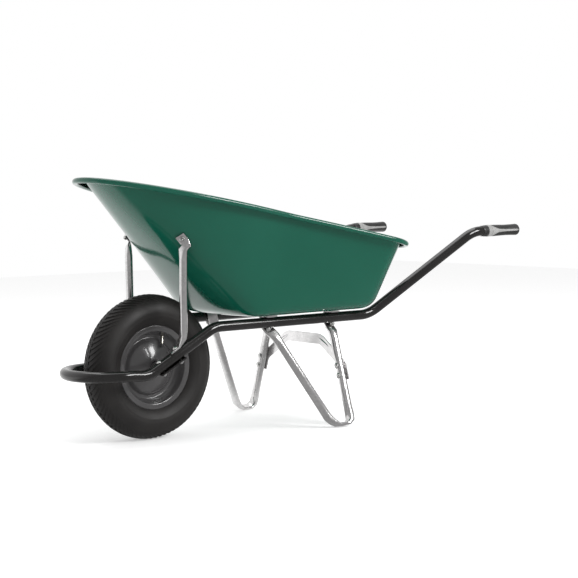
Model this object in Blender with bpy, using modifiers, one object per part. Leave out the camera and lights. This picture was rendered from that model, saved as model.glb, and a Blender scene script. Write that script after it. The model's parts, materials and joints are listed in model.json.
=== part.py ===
"""Single-wheel garden wheelbarrow: pressed tray on a bent tube frame, with two folded legs.

Metres, +Z up. The wheel is at -X and the handles at +X. The origin is on the ground, under
the middle of the object. Every sub-part is one object, placed in the frame of the axle's
ground point and carried to the origin by the empty it is parented to.
"""
import math

import bmesh
import bpy
from mathutils import Matrix, Vector

MM = 0.001

# ------------------------------------------------------------------ driving dimensions
# Clearances
GAP = 0.3 * MM                 # between pieces that touch
BOLT_GAP = 0.35 * MM           # around a bolt in its hole
SEAT_GAP = 1.0 * MM            # between the curved nose wall and what is bolted to it

# Wheel
WHEEL_DIAMETER = 400 * MM
TYRE_WIDTH = 98 * MM
TYRE_WALL = 6 * MM
TUBE_WALL = 2 * MM
RIM_DIAMETER = 229 * MM        # over the flanges
RIM_WIDTH = 63 * MM            # between the flanges
RIM_SHEET = 1.8 * MM
DISH_DIAMETER = 156 * MM       # where the wheel disc meets the rim
HUB_DIAMETER = 34 * MM
HUB_WALL = 3 * MM
HUB_LENGTH = 104 * MM
AXLE_DIAMETER = 14 * MM
AXLE_NUT_WIDTH = 22 * MM       # across flats
AXLE_NUT_HEIGHT = 11 * MM
BEARING_WIDTH = 12 * MM
SPACER_WALL = 4 * MM
VALVE_DIAMETER = 8 * MM
VALVE_LENGTH = 56 * MM
VALVE_ANGLE = 24               # degrees round the wheel, from the top towards the rear
VALVE_LEAN = 27                # degrees towards the left face of the wheel

# Frame tube
FRAME_TUBE = 30 * MM
FRAME_WALL = 1.8 * MM
LOOP_CENTRE = -134 * MM        # centre of the front loop, ahead of the axle
LOOP_HALF_WIDTH = 113.4 * MM
LOOP_HEIGHT = 196 * MM
KNEE_X, KNEE_Y, KNEE_Z = -82 * MM, 117 * MM, 191.5 * MM
RAIL_FRONT_X, RAIL_FRONT_Y = 124.6 * MM, 137 * MM
RAIL_REAR_X, RAIL_REAR_Y = 698 * MM, 146.5 * MM
RAIL_HEIGHT = 310 * MM
HANDLE_X, HANDLE_Y, HANDLE_Z = 1005 * MM, 285.4 * MM, 552 * MM
HANDLE_END_X, HANDLE_END_Y, HANDLE_END_Z = 1198 * MM, 295.9 * MM, 554.4 * MM
BEND_RADIUS = 85 * MM

# Grips
GRIP_LENGTH = 158 * MM
GRIP_DIAMETER = 35 * MM
GRIP_COLLAR_LENGTH = 34 * MM
GRIP_RING_LENGTH = 14 * MM
GRIP_END_WALL = 5 * MM

# Legs
LEG_TUBE = 25 * MM
FLAT_TAB = 4.5 * MM            # thickness of a tube's flattened end
LEG_FLAT_WIDTH = 34 * MM
FRONT_LEG_X = 314 * MM         # where the front run's tab crosses the rail
REAR_LEG_X = 553 * MM
LEG_INSET = 10 * MM            # a run's line passes the rail this far inside its middle
FOOT_BEND_Z = 25 * MM          # height of the two places below, on the runs' lines
FOOT_FRONT_X, FOOT_FRONT_Y = 476.6 * MM, 213.5 * MM
FOOT_REAR_X, FOOT_REAR_Y = 551.4 * MM, 220.8 * MM
FOOT_THICKNESS = 9 * MM
FOOT_WIDTH = 30 * MM
FOOT_MIDDLE_Z = 7 * MM

# Cross brace
BRACE_STRIP = 3 * MM
BRACE_CROWN_HEIGHT = 32 * MM   # height of the strip in the middle
BRACE_END_HEIGHT = 25 * MM
BRACE_CROWN_Z = 240 * MM       # middle of the strip at the top of the arch
BRACE_SHOULDER_Y = 76.7 * MM   # where the arch's slopes begin
BRACE_TURN_Z = 171 * MM        # where a slope meets the leg and turns down along it
BRACE_END_Z = 129 * MM
BRACE_BEND_RADIUS = 45 * MM
BRACE_BOLT_HEIGHTS = (143 * MM, 171 * MM)

# Tray supports
SUPPORT_TUBE = 22 * MM
SUPPORT_FLAT_WIDTH = 27 * MM
SUPPORT_X = 28 * MM
TAB_REACH = 12 * MM            # flat tab above and below its bolt
SUPPORT_SEAT_Y, SUPPORT_SEAT_Z = 127 * MM, 556 * MM   # its bolt through the tray's nose wall

# Axle brackets
BRACKET_SHEET = 4 * MM
BRACKET_WIDTH = 30 * MM
BRACKET_SPARE = 13 * MM        # strap beyond each bolt
BRACKET_FRONT_X = -44 * MM     # bolt through the tube ahead of the axle
BRACKET_REAR_X = 8 * MM        # bolt through the support's foot, behind the axle
EAR_Y = 70 * MM                # middle of the ear's sheet
EAR_HALF_WIDTH = 26 * MM
EAR_RADIUS = 19 * MM

# Fasteners
BOLT_DIAMETER = 8 * MM
BOLT_HEAD_DIAMETER = 17 * MM
BOLT_HEAD_HEIGHT = 4.5 * MM
BOLT_SPARE = 4 * MM            # shank beyond the nut
NUT_WIDTH = 13 * MM            # across flats
NUT_HEIGHT = 6.5 * MM

# Tray
TRAY_SHEET = 1.2 * MM
BEAD_RADIUS = 7.5 * MM
LIP_NOSE, LIP_SIDE = 36 * MM, 27 * MM          # from the wall's top to the rim's outer edge
LIP_DROP = 9 * MM                              # from the rim's top to the wall's top
RIM_NOSE_X, RIM_NOSE_LENGTH, RIM_NOSE_POWER = -203.6 * MM, 546 * MM, 2.13
RIM_FRONT_HALF, RIM_REAR_HALF = 228 * MM, 303.4 * MM
RIM_REAR_X, RIM_CORNER = 750.2 * MM, 84 * MM
RIM_MIDDLE_Z, RIM_FALL, RIM_BEND = 634.5 * MM, 97.8 * MM, -7.5 * MM
FLOOR_NOSE_X, FLOOR_NOSE_LENGTH, FLOOR_NOSE_POWER = 204 * MM, 70 * MM, 2.4
FLOOR_FRONT_HALF, FLOOR_REAR_HALF = 190 * MM, 197 * MM
FLOOR_REAR_X, FLOOR_CORNER = 702 * MM, 68 * MM
FLOOR_FILLET = 40 * MM
NOSE_STEPS = 15                # points round half the nose
RIM_EASE = 1.5                 # packs the rim's points towards the nose, so the corners line up

# ------------------------------------------------------------------ derived places
TUBE_R = FRAME_TUBE / 2
WHEEL_R = WHEEL_DIAMETER / 2
AXLE_Z = WHEEL_R
BOLT_R = BOLT_DIAMETER / 2
RAIL_TOP = RAIL_HEIGHT + TUBE_R
TAB_Z = RAIL_TOP + GAP + FLAT_TAB / 2
FLOOR_Z = RAIL_TOP + FLAT_TAB + 2 * GAP          # underside of the tray
RIM_FLANGE_Y = RIM_WIDTH / 2
BEARING_RADIUS = HUB_DIAMETER / 2 - HUB_WALL - GAP
LEG_RUNS = {"front": (FRONT_LEG_X, FOOT_FRONT_X, FOOT_FRONT_Y),
            "rear": (REAR_LEG_X, FOOT_REAR_X, FOOT_REAR_Y)}
FRONT_X = LOOP_CENTRE - LOOP_HALF_WIDTH - TUBE_R
CENTRE_X = (FRONT_X + HANDLE_END_X) / 2          # the origin, from the axle
SIDES = (("left", -1), ("right", 1))


# ------------------------------------------------------------------ scene helpers
def clear_scene():
    for item in list(bpy.data.objects):
        bpy.data.objects.remove(item, do_unlink=True)


def new_collection(name):
    collection = bpy.data.collections.new(name)
    bpy.context.scene.collection.children.link(collection)
    return collection


def material(name, colour, roughness, metallic=0.0):
    finish = bpy.data.materials.new(name)
    finish.use_nodes = True
    shader = finish.node_tree.nodes["Principled BSDF"]
    shader.inputs["Base Color"].default_value = (*colour, 1.0)
    shader.inputs["Roughness"].default_value = roughness
    shader.inputs["Metallic"].default_value = metallic
    return finish


clear_scene()
PARTS = new_collection("wheelbarrow")
CUTTERS = new_collection("cutters")
ROOT = bpy.data.objects.new("wheelbarrow_origin", None)
ROOT.location = (-CENTRE_X, 0, 0)
PARTS.objects.link(ROOT)
WHEEL_PIVOT = bpy.data.objects.new("wheel_axis", None)
WHEEL_PIVOT.location = (0, 0, AXLE_Z)
WHEEL_PIVOT.parent = ROOT
PARTS.objects.link(WHEEL_PIVOT)

GREEN = material("tray_green", (0.008, 0.13, 0.085), 0.18)
BLACK = material("frame_black", (0.012, 0.012, 0.012), 0.25)
ZINC = material("galvanised", (0.62, 0.62, 0.62), 0.38, 1.0)
RIM_GREY = material("rim_grey", (0.09, 0.088, 0.088), 0.3, 0.3)
RUBBER = material("tyre_rubber", (0.02, 0.019, 0.018), 0.7)
GRIP_BLACK = material("grip_black", (0.03, 0.03, 0.03), 0.55)
GRIP_GREY = material("grip_grey", (0.45, 0.45, 0.43), 0.5)


def add_part(name, mesh, finish, parent=ROOT, matrix=None):
    part = bpy.data.objects.new(name, mesh)
    PARTS.objects.link(part)
    part.parent = parent
    part.matrix_local = matrix or Matrix.Identity(4)
    mesh.materials.clear()
    mesh.materials.append(finish)
    return part


def add_cutter(mesh, matrix, parent=ROOT):
    cutter = bpy.data.objects.new("cutter", mesh)
    CUTTERS.objects.link(cutter)
    cutter.parent = parent
    cutter.matrix_local = matrix
    cutter.hide_render = True
    cutter.display_type = "WIRE"
    return cutter


def boolean(part, cutter, operation="DIFFERENCE"):
    step = part.modifiers.new(operation.lower(), "BOOLEAN")
    step.operation = operation
    step.solver = "EXACT"
    step.object = cutter


def smooth(mesh, degrees=35):
    mesh.shade_smooth()
    mesh.set_sharp_from_angle(angle=math.radians(degrees))


# ------------------------------------------------------------------ shape helpers
def turned(name, profile, finish, matrix, steps=20, ring=False, parent=ROOT, wall=0.0):
    """A turned piece: a profile of (radius, height) points, run down its outer side."""
    mesh = bpy.data.meshes.new(name)
    edges = [(i, i + 1) for i in range(len(profile) - 1)]
    if ring:
        edges.append((len(profile) - 1, 0))
    mesh.from_pydata([(radius, 0, height) for radius, height in profile], edges, [])
    part = add_part(name, mesh, finish, parent, matrix)
    screw = part.modifiers.new("turn", "SCREW")
    screw.axis = "Z"
    screw.steps = screw.render_steps = steps
    screw.use_merge_vertices = True
    screw.merge_threshold = 0.00001
    screw.use_smooth_shade = steps > 8
    if wall:
        shell = part.modifiers.new("sheet", "SOLIDIFY")
        shell.thickness = wall
        shell.offset = 0
    return part


def cylinder_mesh(radius, length, sides=12):
    mesh = bpy.data.meshes.new("cylinder")
    bm = bmesh.new()
    bmesh.ops.create_cone(bm, cap_ends=True, segments=sides, radius1=radius, radius2=radius,
                          depth=length)
    bm.to_mesh(mesh)
    bm.free()
    return mesh


def box_mesh(size):
    mesh = bpy.data.meshes.new("box")
    bm = bmesh.new()
    bmesh.ops.create_cube(bm, size=1.0)
    bmesh.ops.scale(bm, vec=size, verts=bm.verts)
    bm.to_mesh(mesh)
    bm.free()
    return mesh


def along(place, direction, up=Vector((0, 0, 1))):
    """A frame at place whose Z runs along direction."""
    z_axis = Vector(direction).normalized()
    x_axis = up.cross(z_axis)
    if x_axis.length < 1e-6:
        x_axis = Vector((1, 0, 0))
    x_axis.normalize()
    y_axis = z_axis.cross(x_axis)
    turn = Matrix((x_axis, y_axis, z_axis)).transposed().to_4x4()
    return Matrix.Translation(place) @ turn


def rounded_path(corners, radius, steps=4):
    """A polyline with each inner corner replaced by an arc."""
    points = [corners[0]]
    for before, corner, after in zip(corners, corners[1:], corners[2:]):
        arrive = (corner - before).normalized()
        leave = (after - corner).normalized()
        turn = arrive.angle(leave)
        reach = radius * math.tan(turn / 2)
        centre_way = (leave - arrive).normalized()
        centre = corner + centre_way * (radius / math.cos(turn / 2))
        start = corner - arrive * reach - centre
        for step in range(steps + 1):
            angle = turn * step / steps
            axis = arrive.cross(leave).normalized()
            points.append(centre + Matrix.Rotation(angle, 3, axis) @ start)
    points.append(corners[-1])
    return points


def tube_mesh(name, points, radius, resolution=3):
    """An open tube round a polyline, as a mesh."""
    curve = bpy.data.curves.new(name, "CURVE")
    curve.dimensions = "3D"
    curve.bevel_depth = radius
    curve.bevel_resolution = resolution
    spline = curve.splines.new("POLY")
    spline.points.add(len(points) - 1)
    for target, point in zip(spline.points, points):
        target.co = (*point, 1)
    guide = bpy.data.objects.new(name, curve)
    bpy.context.scene.collection.objects.link(guide)
    scene_state = bpy.context.evaluated_depsgraph_get()
    mesh = bpy.data.meshes.new_from_object(guide.evaluated_get(scene_state))
    bpy.data.objects.remove(guide)
    bpy.data.curves.remove(curve)
    return mesh


def plate_mesh(name, outline, thickness):
    """A flat plate from a closed outline in its own XY plane, centred on that plane."""
    curve = bpy.data.curves.new(name, "CURVE")
    curve.dimensions = "2D"
    curve.fill_mode = "BOTH"
    curve.extrude = thickness / 2
    spline = curve.splines.new("POLY")
    spline.points.add(len(outline) - 1)
    for target, (x, y) in zip(spline.points, outline):
        target.co = (x, y, 0, 1)
    spline.use_cyclic_u = True
    guide = bpy.data.objects.new(name, curve)
    bpy.context.scene.collection.objects.link(guide)
    scene_state = bpy.context.evaluated_depsgraph_get()
    mesh = bpy.data.meshes.new_from_object(guide.evaluated_get(scene_state))
    bpy.data.objects.remove(guide)
    bpy.data.curves.remove(curve)
    bm = bmesh.new()
    bm.from_mesh(mesh)
    bmesh.ops.remove_doubles(bm, verts=bm.verts, dist=0.00001)
    bmesh.ops.recalc_face_normals(bm, faces=bm.faces)
    bm.to_mesh(mesh)
    bm.free()
    return mesh


def loft_mesh(name, rings):
    """A closed body through rings of equal count."""
    mesh = bpy.data.meshes.new(name)
    bm = bmesh.new()
    loops = [[bm.verts.new(point) for point in ring] for ring in rings]
    count = len(rings[0])
    for low, high in zip(loops, loops[1:]):
        for i in range(count):
            j = (i + 1) % count
            bm.faces.new((low[i], low[j], high[j], high[i]))
    bm.faces.new(list(reversed(loops[0])))
    bm.faces.new(loops[-1])
    bmesh.ops.recalc_face_normals(bm, faces=bm.faces)
    bm.to_mesh(mesh)
    bm.free()
    smooth(mesh)
    return mesh


def squashed_tube_mesh(name, stations, sides=12):
    """A tube pressed flat in places.

    A station is (centre, thin direction, half size along it, half size across it).
    A round section and a flat one are both superellipses.
    """
    rings = []
    centres = [station[0] for station in stations]
    for i, (centre, thin, half_thin, half_wide) in enumerate(stations):
        ahead = centres[min(i + 1, len(centres) - 1)]
        behind = centres[max(i - 1, 0)]
        tangent = (ahead - behind).normalized()
        thin_axis = (thin - tangent * thin.dot(tangent)).normalized()
        wide_axis = tangent.cross(thin_axis)
        flatness = min(half_wide / half_thin, half_thin / half_wide)
        power = 2 / (2 + 4 * (1 - flatness))
        ring = []
        for k in range(sides):
            angle = 2 * math.pi * (k + 0.5) / sides
            c, s = math.cos(angle), math.sin(angle)
            a = math.copysign(abs(c) ** power, c) * half_thin
            b = math.copysign(abs(s) ** power, s) * half_wide
            ring.append(centre + thin_axis * a + wide_axis * b)
        rings.append(ring)
    return loft_mesh(name, rings)


def lerp(a, b, share):
    return a + (b - a) * share


# ------------------------------------------------------------------ fasteners
def drill(place, direction, *parts, radius=BOLT_R + BOLT_GAP, depth=90 * MM):
    cutter = add_cutter(cylinder_mesh(radius, depth), along(place, direction))
    for part in parts:
        boolean(part, cutter)


def bolt(name, head_face, direction, grip):
    """A domed bolt. Its head rests on head_face and its shank runs along direction."""
    reach = grip + NUT_HEIGHT + BOLT_SPARE
    dome = [(BOLT_HEAD_DIAMETER / 2 * math.sin(a), BOLT_HEAD_HEIGHT * math.cos(a))
            for a in (math.radians(angle) for angle in (0, 40, 75))]
    profile = dome + [(BOLT_HEAD_DIAMETER / 2, 0), (BOLT_R, 0), (BOLT_R, -reach + 1 * MM),
                      (BOLT_R - 1 * MM, -reach), (0, -reach)]
    direction = Vector(direction).normalized()
    return turned(name, profile, ZINC, along(head_face - direction * GAP, -direction), steps=10)


def nut(name, seat, direction, hole=BOLT_DIAMETER, width=NUT_WIDTH, height=NUT_HEIGHT):
    """A hexagon nut. It rests on seat and lies beyond it along direction."""
    outer = width / math.sqrt(3)
    inner = (hole / 2 + GAP) / math.cos(math.pi / 6)
    profile = [(outer, height), (outer, 0), (inner, 0), (inner, height)]
    direction = Vector(direction).normalized()
    return turned(name, profile, ZINC, along(seat + direction * GAP, direction), steps=6,
                  ring=True)


# ------------------------------------------------------------------ frame
def rail_y(x):
    """Half distance between the rails' middles at x."""
    share = (x - RAIL_FRONT_X) / (RAIL_REAR_X - RAIL_FRONT_X)
    return lerp(RAIL_FRONT_Y, RAIL_REAR_Y, share)


def side_corners(side):
    """The frame tube's corners on one side, from the grip forward to the loop."""
    return [Vector((x, side * y, z)) for x, y, z in (
        (HANDLE_END_X, HANDLE_END_Y, HANDLE_END_Z),
        (HANDLE_X, HANDLE_Y, HANDLE_Z),
        (RAIL_REAR_X, RAIL_REAR_Y, RAIL_HEIGHT),
        (RAIL_FRONT_X, RAIL_FRONT_Y, RAIL_HEIGHT),
        (KNEE_X, KNEE_Y, KNEE_Z),
        (LOOP_CENTRE, LOOP_HALF_WIDTH, LOOP_HEIGHT))]


def handle_direction(side):
    corners = side_corners(side)
    return (corners[0] - corners[1]).normalized()


def make_frame():
    halves = []
    for side in (-1, 1):
        corners = side_corners(side)
        corners[0] = corners[0] - handle_direction(side) * (GRIP_END_WALL + GAP)
        halves.append(rounded_path(corners, BEND_RADIUS))
    loop = []
    for step in range(1, 14):
        angle = math.pi * step / 14
        loop.append(Vector((LOOP_CENTRE - LOOP_HALF_WIDTH * math.sin(angle),
                            -LOOP_HALF_WIDTH * math.cos(angle), LOOP_HEIGHT)))
    points = halves[0] + loop + list(reversed(halves[1]))
    mesh = tube_mesh("frame_tube", points, TUBE_R)
    smooth(mesh)
    frame = add_part("frame_tube", mesh, BLACK)
    wall = frame.modifiers.new("tube_wall", "SOLIDIFY")
    wall.thickness = FRAME_WALL
    wall.offset = -1
    return frame


def diagonal(side):
    """Start, direction and upward normal of the tube between the knee and the rail."""
    low = Vector((KNEE_X, side * KNEE_Y, KNEE_Z))
    high = Vector((RAIL_FRONT_X, side * RAIL_FRONT_Y, RAIL_HEIGHT))
    way = (high - low).normalized()
    normal = way.cross(Vector((0, 1, 0)))
    if normal.z < 0:
        normal.negate()
    return low, way, normal.normalized()


def on_diagonal(side, x):
    """The middle of that tube at x."""
    low, way = diagonal(side)[:2]
    return low + way * ((x - low.x) / way.x)


# ------------------------------------------------------------------ grips
def make_grip(name, side):
    end = Vector((HANDLE_END_X, side * HANDLE_END_Y, HANDLE_END_Z))
    place = along(end, handle_direction(side))
    outer, bore = GRIP_DIAMETER / 2, TUBE_R + GAP
    ring_top = -(GRIP_LENGTH - GRIP_COLLAR_LENGTH)
    ring_low = ring_top - GRIP_RING_LENGTH
    groove = bore + 1.2 * MM
    dome = [(outer * math.sin(a), 9 * MM * (math.cos(a) - 1))
            for a in (math.radians(angle) for angle in (0, 25, 50, 75, 90))]
    profile = dome + [(outer, -24 * MM), (outer - 1 * MM, -34 * MM), (outer - 0.6 * MM, -80 * MM),
                      (outer, ring_top), (groove, ring_top), (groove, ring_low),
                      (outer - 0.5 * MM, ring_low), (outer - 1 * MM, -GRIP_LENGTH + 2 * MM),
                      (outer - 1.6 * MM, -GRIP_LENGTH), (bore, -GRIP_LENGTH),
                      (bore, -GRIP_END_WALL), (0, -GRIP_END_WALL)]
    turned("grip_" + name, profile, GRIP_BLACK, place, steps=24)
    ring = [(outer + 0.4 * MM, ring_top - GAP), (outer + 0.2 * MM, ring_low + GAP),
            (groove + GAP, ring_low + GAP), (groove + GAP, ring_top - GAP)]
    turned("grip_ring_" + name, ring, GRIP_GREY, place, steps=24, ring=True)


# ------------------------------------------------------------------ tray
def half_outline(nose_x, nose_length, power, front_half, rear_half, rear_x, corner, ease=1):
    """Half a tray outline, from the middle of the nose to the middle of the rear edge."""
    points = []
    for i in range(NOSE_STEPS):
        t = math.pi / 2 * (i / NOSE_STEPS) ** ease
        points.append((nose_x + nose_length * (1 - math.cos(t) ** (2 / power)),
                       front_half * math.sin(t) ** (2 / power)))
    side_start = nose_x + nose_length
    side_end = rear_x - corner
    for i in range(4):
        share = i / 4
        points.append((lerp(side_start, side_end, share), lerp(front_half, rear_half, share)))
    for i in range(6):
        t = math.pi / 2 * i / 5
        points.append((side_end + corner * math.sin(t),
                       rear_half - corner + corner * math.cos(t)))
    for share in (0.5, 1):
        points.append((rear_x, (rear_half - corner) * (1 - share)))
    return points


def whole_outline(half):
    return half + [(x, -y) for x, y in reversed(half[1:-1])]


def offset_point(outline, i, amount):
    """Point i of a tray outline moved inward, to the right of the way the outline runs."""
    x, y = outline[i]
    before, after = outline[i - 1], outline[(i + 1) % len(outline)]
    way = Vector((after[0] - before[0], after[1] - before[1])).normalized()
    return x + way.y * amount, y - way.x * amount


def rim_height(x):
    """Top of the rolled bead: a plane that falls to the rear, bent a little."""
    run = (x - 250 * MM) / (480 * MM)
    return RIM_MIDDLE_Z - RIM_FALL * run + RIM_BEND * run * run


BEAD_LINE = whole_outline(half_outline(RIM_NOSE_X, RIM_NOSE_LENGTH, RIM_NOSE_POWER, RIM_FRONT_HALF,
                                       RIM_REAR_HALF, RIM_REAR_X, RIM_CORNER, RIM_EASE))
FLOOR_LINE = whole_outline(half_outline(FLOOR_NOSE_X, FLOOR_NOSE_LENGTH, FLOOR_NOSE_POWER,
                                        FLOOR_FRONT_HALF, FLOOR_REAR_HALF, FLOOR_REAR_X,
                                        FLOOR_CORNER))


def lip_overhang(x):
    """From the wall's top out to the middle of the bead: wider round the nose."""
    share = min(1, max(0, (x - RIM_NOSE_X) / RIM_NOSE_LENGTH))
    return lerp(LIP_NOSE, LIP_SIDE, share) - BEAD_RADIUS


def tray_column(i):
    """The wall at outline point i: the corner with the floor, then the top."""
    bead_x, bead_y = BEAD_LINE[i]
    top = Vector((*offset_point(BEAD_LINE, i, lip_overhang(bead_x)), rim_height(bead_x) - LIP_DROP))
    corner = Vector((*FLOOR_LINE[i], FLOOR_Z + TRAY_SHEET / 2))
    return corner, top


def tray_rings():
    """Middle surface of the tray's sheet, ring by ring from the floor to the bead's edge."""
    points = range(len(BEAD_LINE))
    columns = [tray_column(i) for i in points]
    rings = []
    for share in (0, 0.33, 0.67, 1):
        ring = []
        for i, (corner, top) in enumerate(columns):
            flat = Vector((*offset_point(FLOOR_LINE, i, FLOOR_FILLET), corner.z))
            up = corner + (top - corner).normalized() * FLOOR_FILLET
            ring.append(flat.lerp(corner, share).lerp(corner.lerp(up, share), share))
        rings.append(ring)
    for share in (0.5, 1):
        rings.append([(corner + (top - corner).normalized() * FLOOR_FILLET).lerp(top, share)
                      for corner, top in columns])
    flange = BEAD_RADIUS + 4 * MM
    lip = [(1, -2 * MM, -4 * MM), (1, -5.5 * MM, -1.6 * MM), (0, flange, -0.6 * MM)]
    for angle in (90, 40, -10, -60, -110, -155):
        turn = math.radians(angle)
        lip.append((0, -BEAD_RADIUS * math.cos(turn), BEAD_RADIUS * (math.sin(turn) - 1)))
    for from_wall, inset, lift in lip:
        ring = []
        for i in points:
            x = BEAD_LINE[i][0]
            spot = offset_point(BEAD_LINE, i, from_wall * lip_overhang(x) + inset)
            ring.append(Vector((*spot, rim_height(x) - TRAY_SHEET / 2 + lift)))
        rings.append(ring)
    return rings


def make_tray():
    mesh = bpy.data.meshes.new("tray")
    bm = bmesh.new()
    loops = [[bm.verts.new(point) for point in ring] for ring in tray_rings()]
    count = len(loops[0])
    for low, high in zip(loops, loops[1:]):
        for i in range(count):
            j = (i + 1) % count
            bm.faces.new((low[i], low[j], high[j], high[i]))
    bm.faces.new(loops[0])
    bmesh.ops.recalc_face_normals(bm, faces=bm.faces)
    bm.to_mesh(mesh)
    bm.free()
    smooth(mesh, 50)
    tray = add_part("tray", mesh, GREEN)
    sheet = tray.modifiers.new("sheet", "SOLIDIFY")
    sheet.thickness = TRAY_SHEET
    sheet.offset = 0
    return tray


def wall_at(side, half_width, height):
    """A place on the nose wall's outside: point, upward direction and outward normal."""
    count = len(BEAD_LINE)
    for i in range(NOSE_STEPS):
        here = i if side > 0 else -i % count
        ahead = i + 1 if side > 0 else -(i + 1) % count
        (corner_0, top_0), (corner_1, top_1) = tray_column(here), tray_column(ahead)
        point_0 = corner_0.lerp(top_0, (height - corner_0.z) / (top_0.z - corner_0.z))
        point_1 = corner_1.lerp(top_1, (height - corner_1.z) / (top_1.z - corner_1.z))
        if abs(point_1.y) >= half_width:
            break
    share = (half_width - abs(point_0.y)) / (abs(point_1.y) - abs(point_0.y))
    up = (top_0.lerp(top_1, share) - corner_0.lerp(corner_1, share)).normalized()
    normal = up.cross(point_1 - point_0).normalized()
    if normal.z > 0:
        normal.negate()
    return point_0.lerp(point_1, share) + normal * TRAY_SHEET / 2, up, normal


# ------------------------------------------------------------------ legs
def leg_run(side, place, height):
    """Middle of the leg's front or rear run at a height."""
    top_x, foot_x, foot_y = LEG_RUNS[place]
    share = (RAIL_HEIGHT - height) / (RAIL_HEIGHT - FOOT_BEND_Z)
    half_width = lerp(rail_y(top_x) - LEG_INSET, foot_y, share)
    return Vector((lerp(top_x, foot_x, share), side * half_width, height))


def leg_top(side, place):
    """Stations from the tab on top of the rail, down its inner side, to the round tube."""
    half_tube, half_tab, half_wide = LEG_TUBE / 2, FLAT_TAB / 2, LEG_FLAT_WIDTH / 2
    inward = Vector((0, -side, 0))
    up = Vector((0, 0, 1))
    tab_x = LEG_RUNS[place][0]
    rail = rail_y(tab_x)
    face = rail - TUBE_R - GAP - half_tab
    outer_end = Vector((tab_x, side * (rail + 14 * MM), TAB_Z))
    bend_start = Vector((tab_x, side * (face + 7 * MM), TAB_Z))
    bend_middle = Vector((tab_x, side * (face - 1.2 * MM), TAB_Z - 1.2 * MM))
    bend_end = Vector((tab_x, side * (face - 2.4 * MM), TAB_Z - 7 * MM))
    stations = [(outer_end, up, half_tab, half_wide), (bend_start, up, half_tab, half_wide),
                (bend_middle, up + inward, half_tab, half_wide),
                (bend_end, inward, half_tab, half_wide)]
    for below, from_face, half_thin, wide in ((5 * MM, -2.2 * MM, 2.5 * MM, 17 * MM),
                                              (14 * MM, -0.5 * MM, 3 * MM, 16.6 * MM),
                                              (27 * MM, 5.5 * MM, 6 * MM, 15.6 * MM)):
        spot = leg_run(side, place, RAIL_HEIGHT - below)
        spot.y = side * (face + from_face)
        stations.append((spot, inward, half_thin, wide))
    stations.append((leg_run(side, place, RAIL_HEIGHT - 41 * MM), inward, half_tube * 0.8,
                     half_tube * 1.12))
    stations.append((leg_run(side, place, RAIL_HEIGHT - 58 * MM), inward, half_tube, half_tube))
    return stations


def foot_stations(side):
    """The pressed bend of a leg that stands on the ground, from the front run to the rear."""
    half_tube, half_thick, half_wide = LEG_TUBE / 2, FOOT_THICKNESS / 2, FOOT_WIDTH / 2
    splay = (FOOT_REAR_Y - rail_y(REAR_LEG_X) + LEG_INSET) / (RAIL_HEIGHT - FOOT_BEND_Z)
    square = Vector((0, -side, -splay)).normalized()
    front_x, rear_x = FOOT_FRONT_X, FOOT_REAR_X
    bend = [(front_x + 12 * MM, FOOT_MIDDLE_Z + 9 * MM, 7.5 * MM, 14.5 * MM),
            (front_x + 26 * MM, FOOT_MIDDLE_Z + 1 * MM, half_thick + 0.3 * MM, half_wide),
            (rear_x - 28 * MM, FOOT_MIDDLE_Z, half_thick, half_wide),
            (rear_x - 13 * MM, FOOT_MIDDLE_Z + 2 * MM, half_thick + 1 * MM, half_wide),
            (rear_x - 1.5 * MM, FOOT_MIDDLE_Z + 11 * MM, 8 * MM, 14.3 * MM)]
    stations = [(leg_run(side, "front", 52 * MM), square, half_tube, half_tube),
                (leg_run(side, "front", 29 * MM), square, half_tube * 1.06, half_tube * 0.88)]
    for x, z, thick, wide in bend:
        share = (x - front_x) / (rear_x - front_x)
        half_width = lerp(FOOT_FRONT_Y, FOOT_REAR_Y, share) + splay * (FOOT_BEND_Z - z)
        stations.append((Vector((x, side * half_width, z)), square, wide, thick))
    stations.append((leg_run(side, "rear", 34 * MM), square, half_tube * 1.06, half_tube * 0.9))
    stations.append((leg_run(side, "rear", 54 * MM), square, half_tube, half_tube))
    return stations


def make_leg(name, side):
    """A tube folded to a V, its ends pressed flat and bent over the rail."""
    stations = leg_top(side, "front") + foot_stations(side) + leg_top(side, "rear")[::-1]
    leg = add_part("leg_" + name, squashed_tube_mesh("leg_" + name, stations), ZINC)
    ground_depth = 100 * MM
    middle = Vector(((FOOT_FRONT_X + FOOT_REAR_X) / 2, side * FOOT_FRONT_Y, -ground_depth / 2))
    ground = add_cutter(box_mesh((0.3, 0.3, ground_depth)), Matrix.Translation(middle))
    boolean(leg, ground)
    return leg


# ------------------------------------------------------------------ cross brace
def brace_frame():
    """Plane of the brace behind the rear runs: X across the object, Y up along the runs."""
    low = leg_run(1, "rear", BRACE_BOLT_HEIGHTS[0])
    way = leg_run(1, "rear", BRACE_BOLT_HEIGHTS[1]) - low
    up = Vector((way.x, 0, way.z)).normalized()
    across = Vector((0, 1, 0))
    behind = across.cross(up)
    place = Vector((low.x, 0, low.z)) + behind * (LEG_TUBE / 2 + GAP + BRACE_STRIP / 2)
    turn = Matrix((across, up, behind)).transposed().to_4x4()
    return Matrix.Translation(place) @ turn


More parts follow.
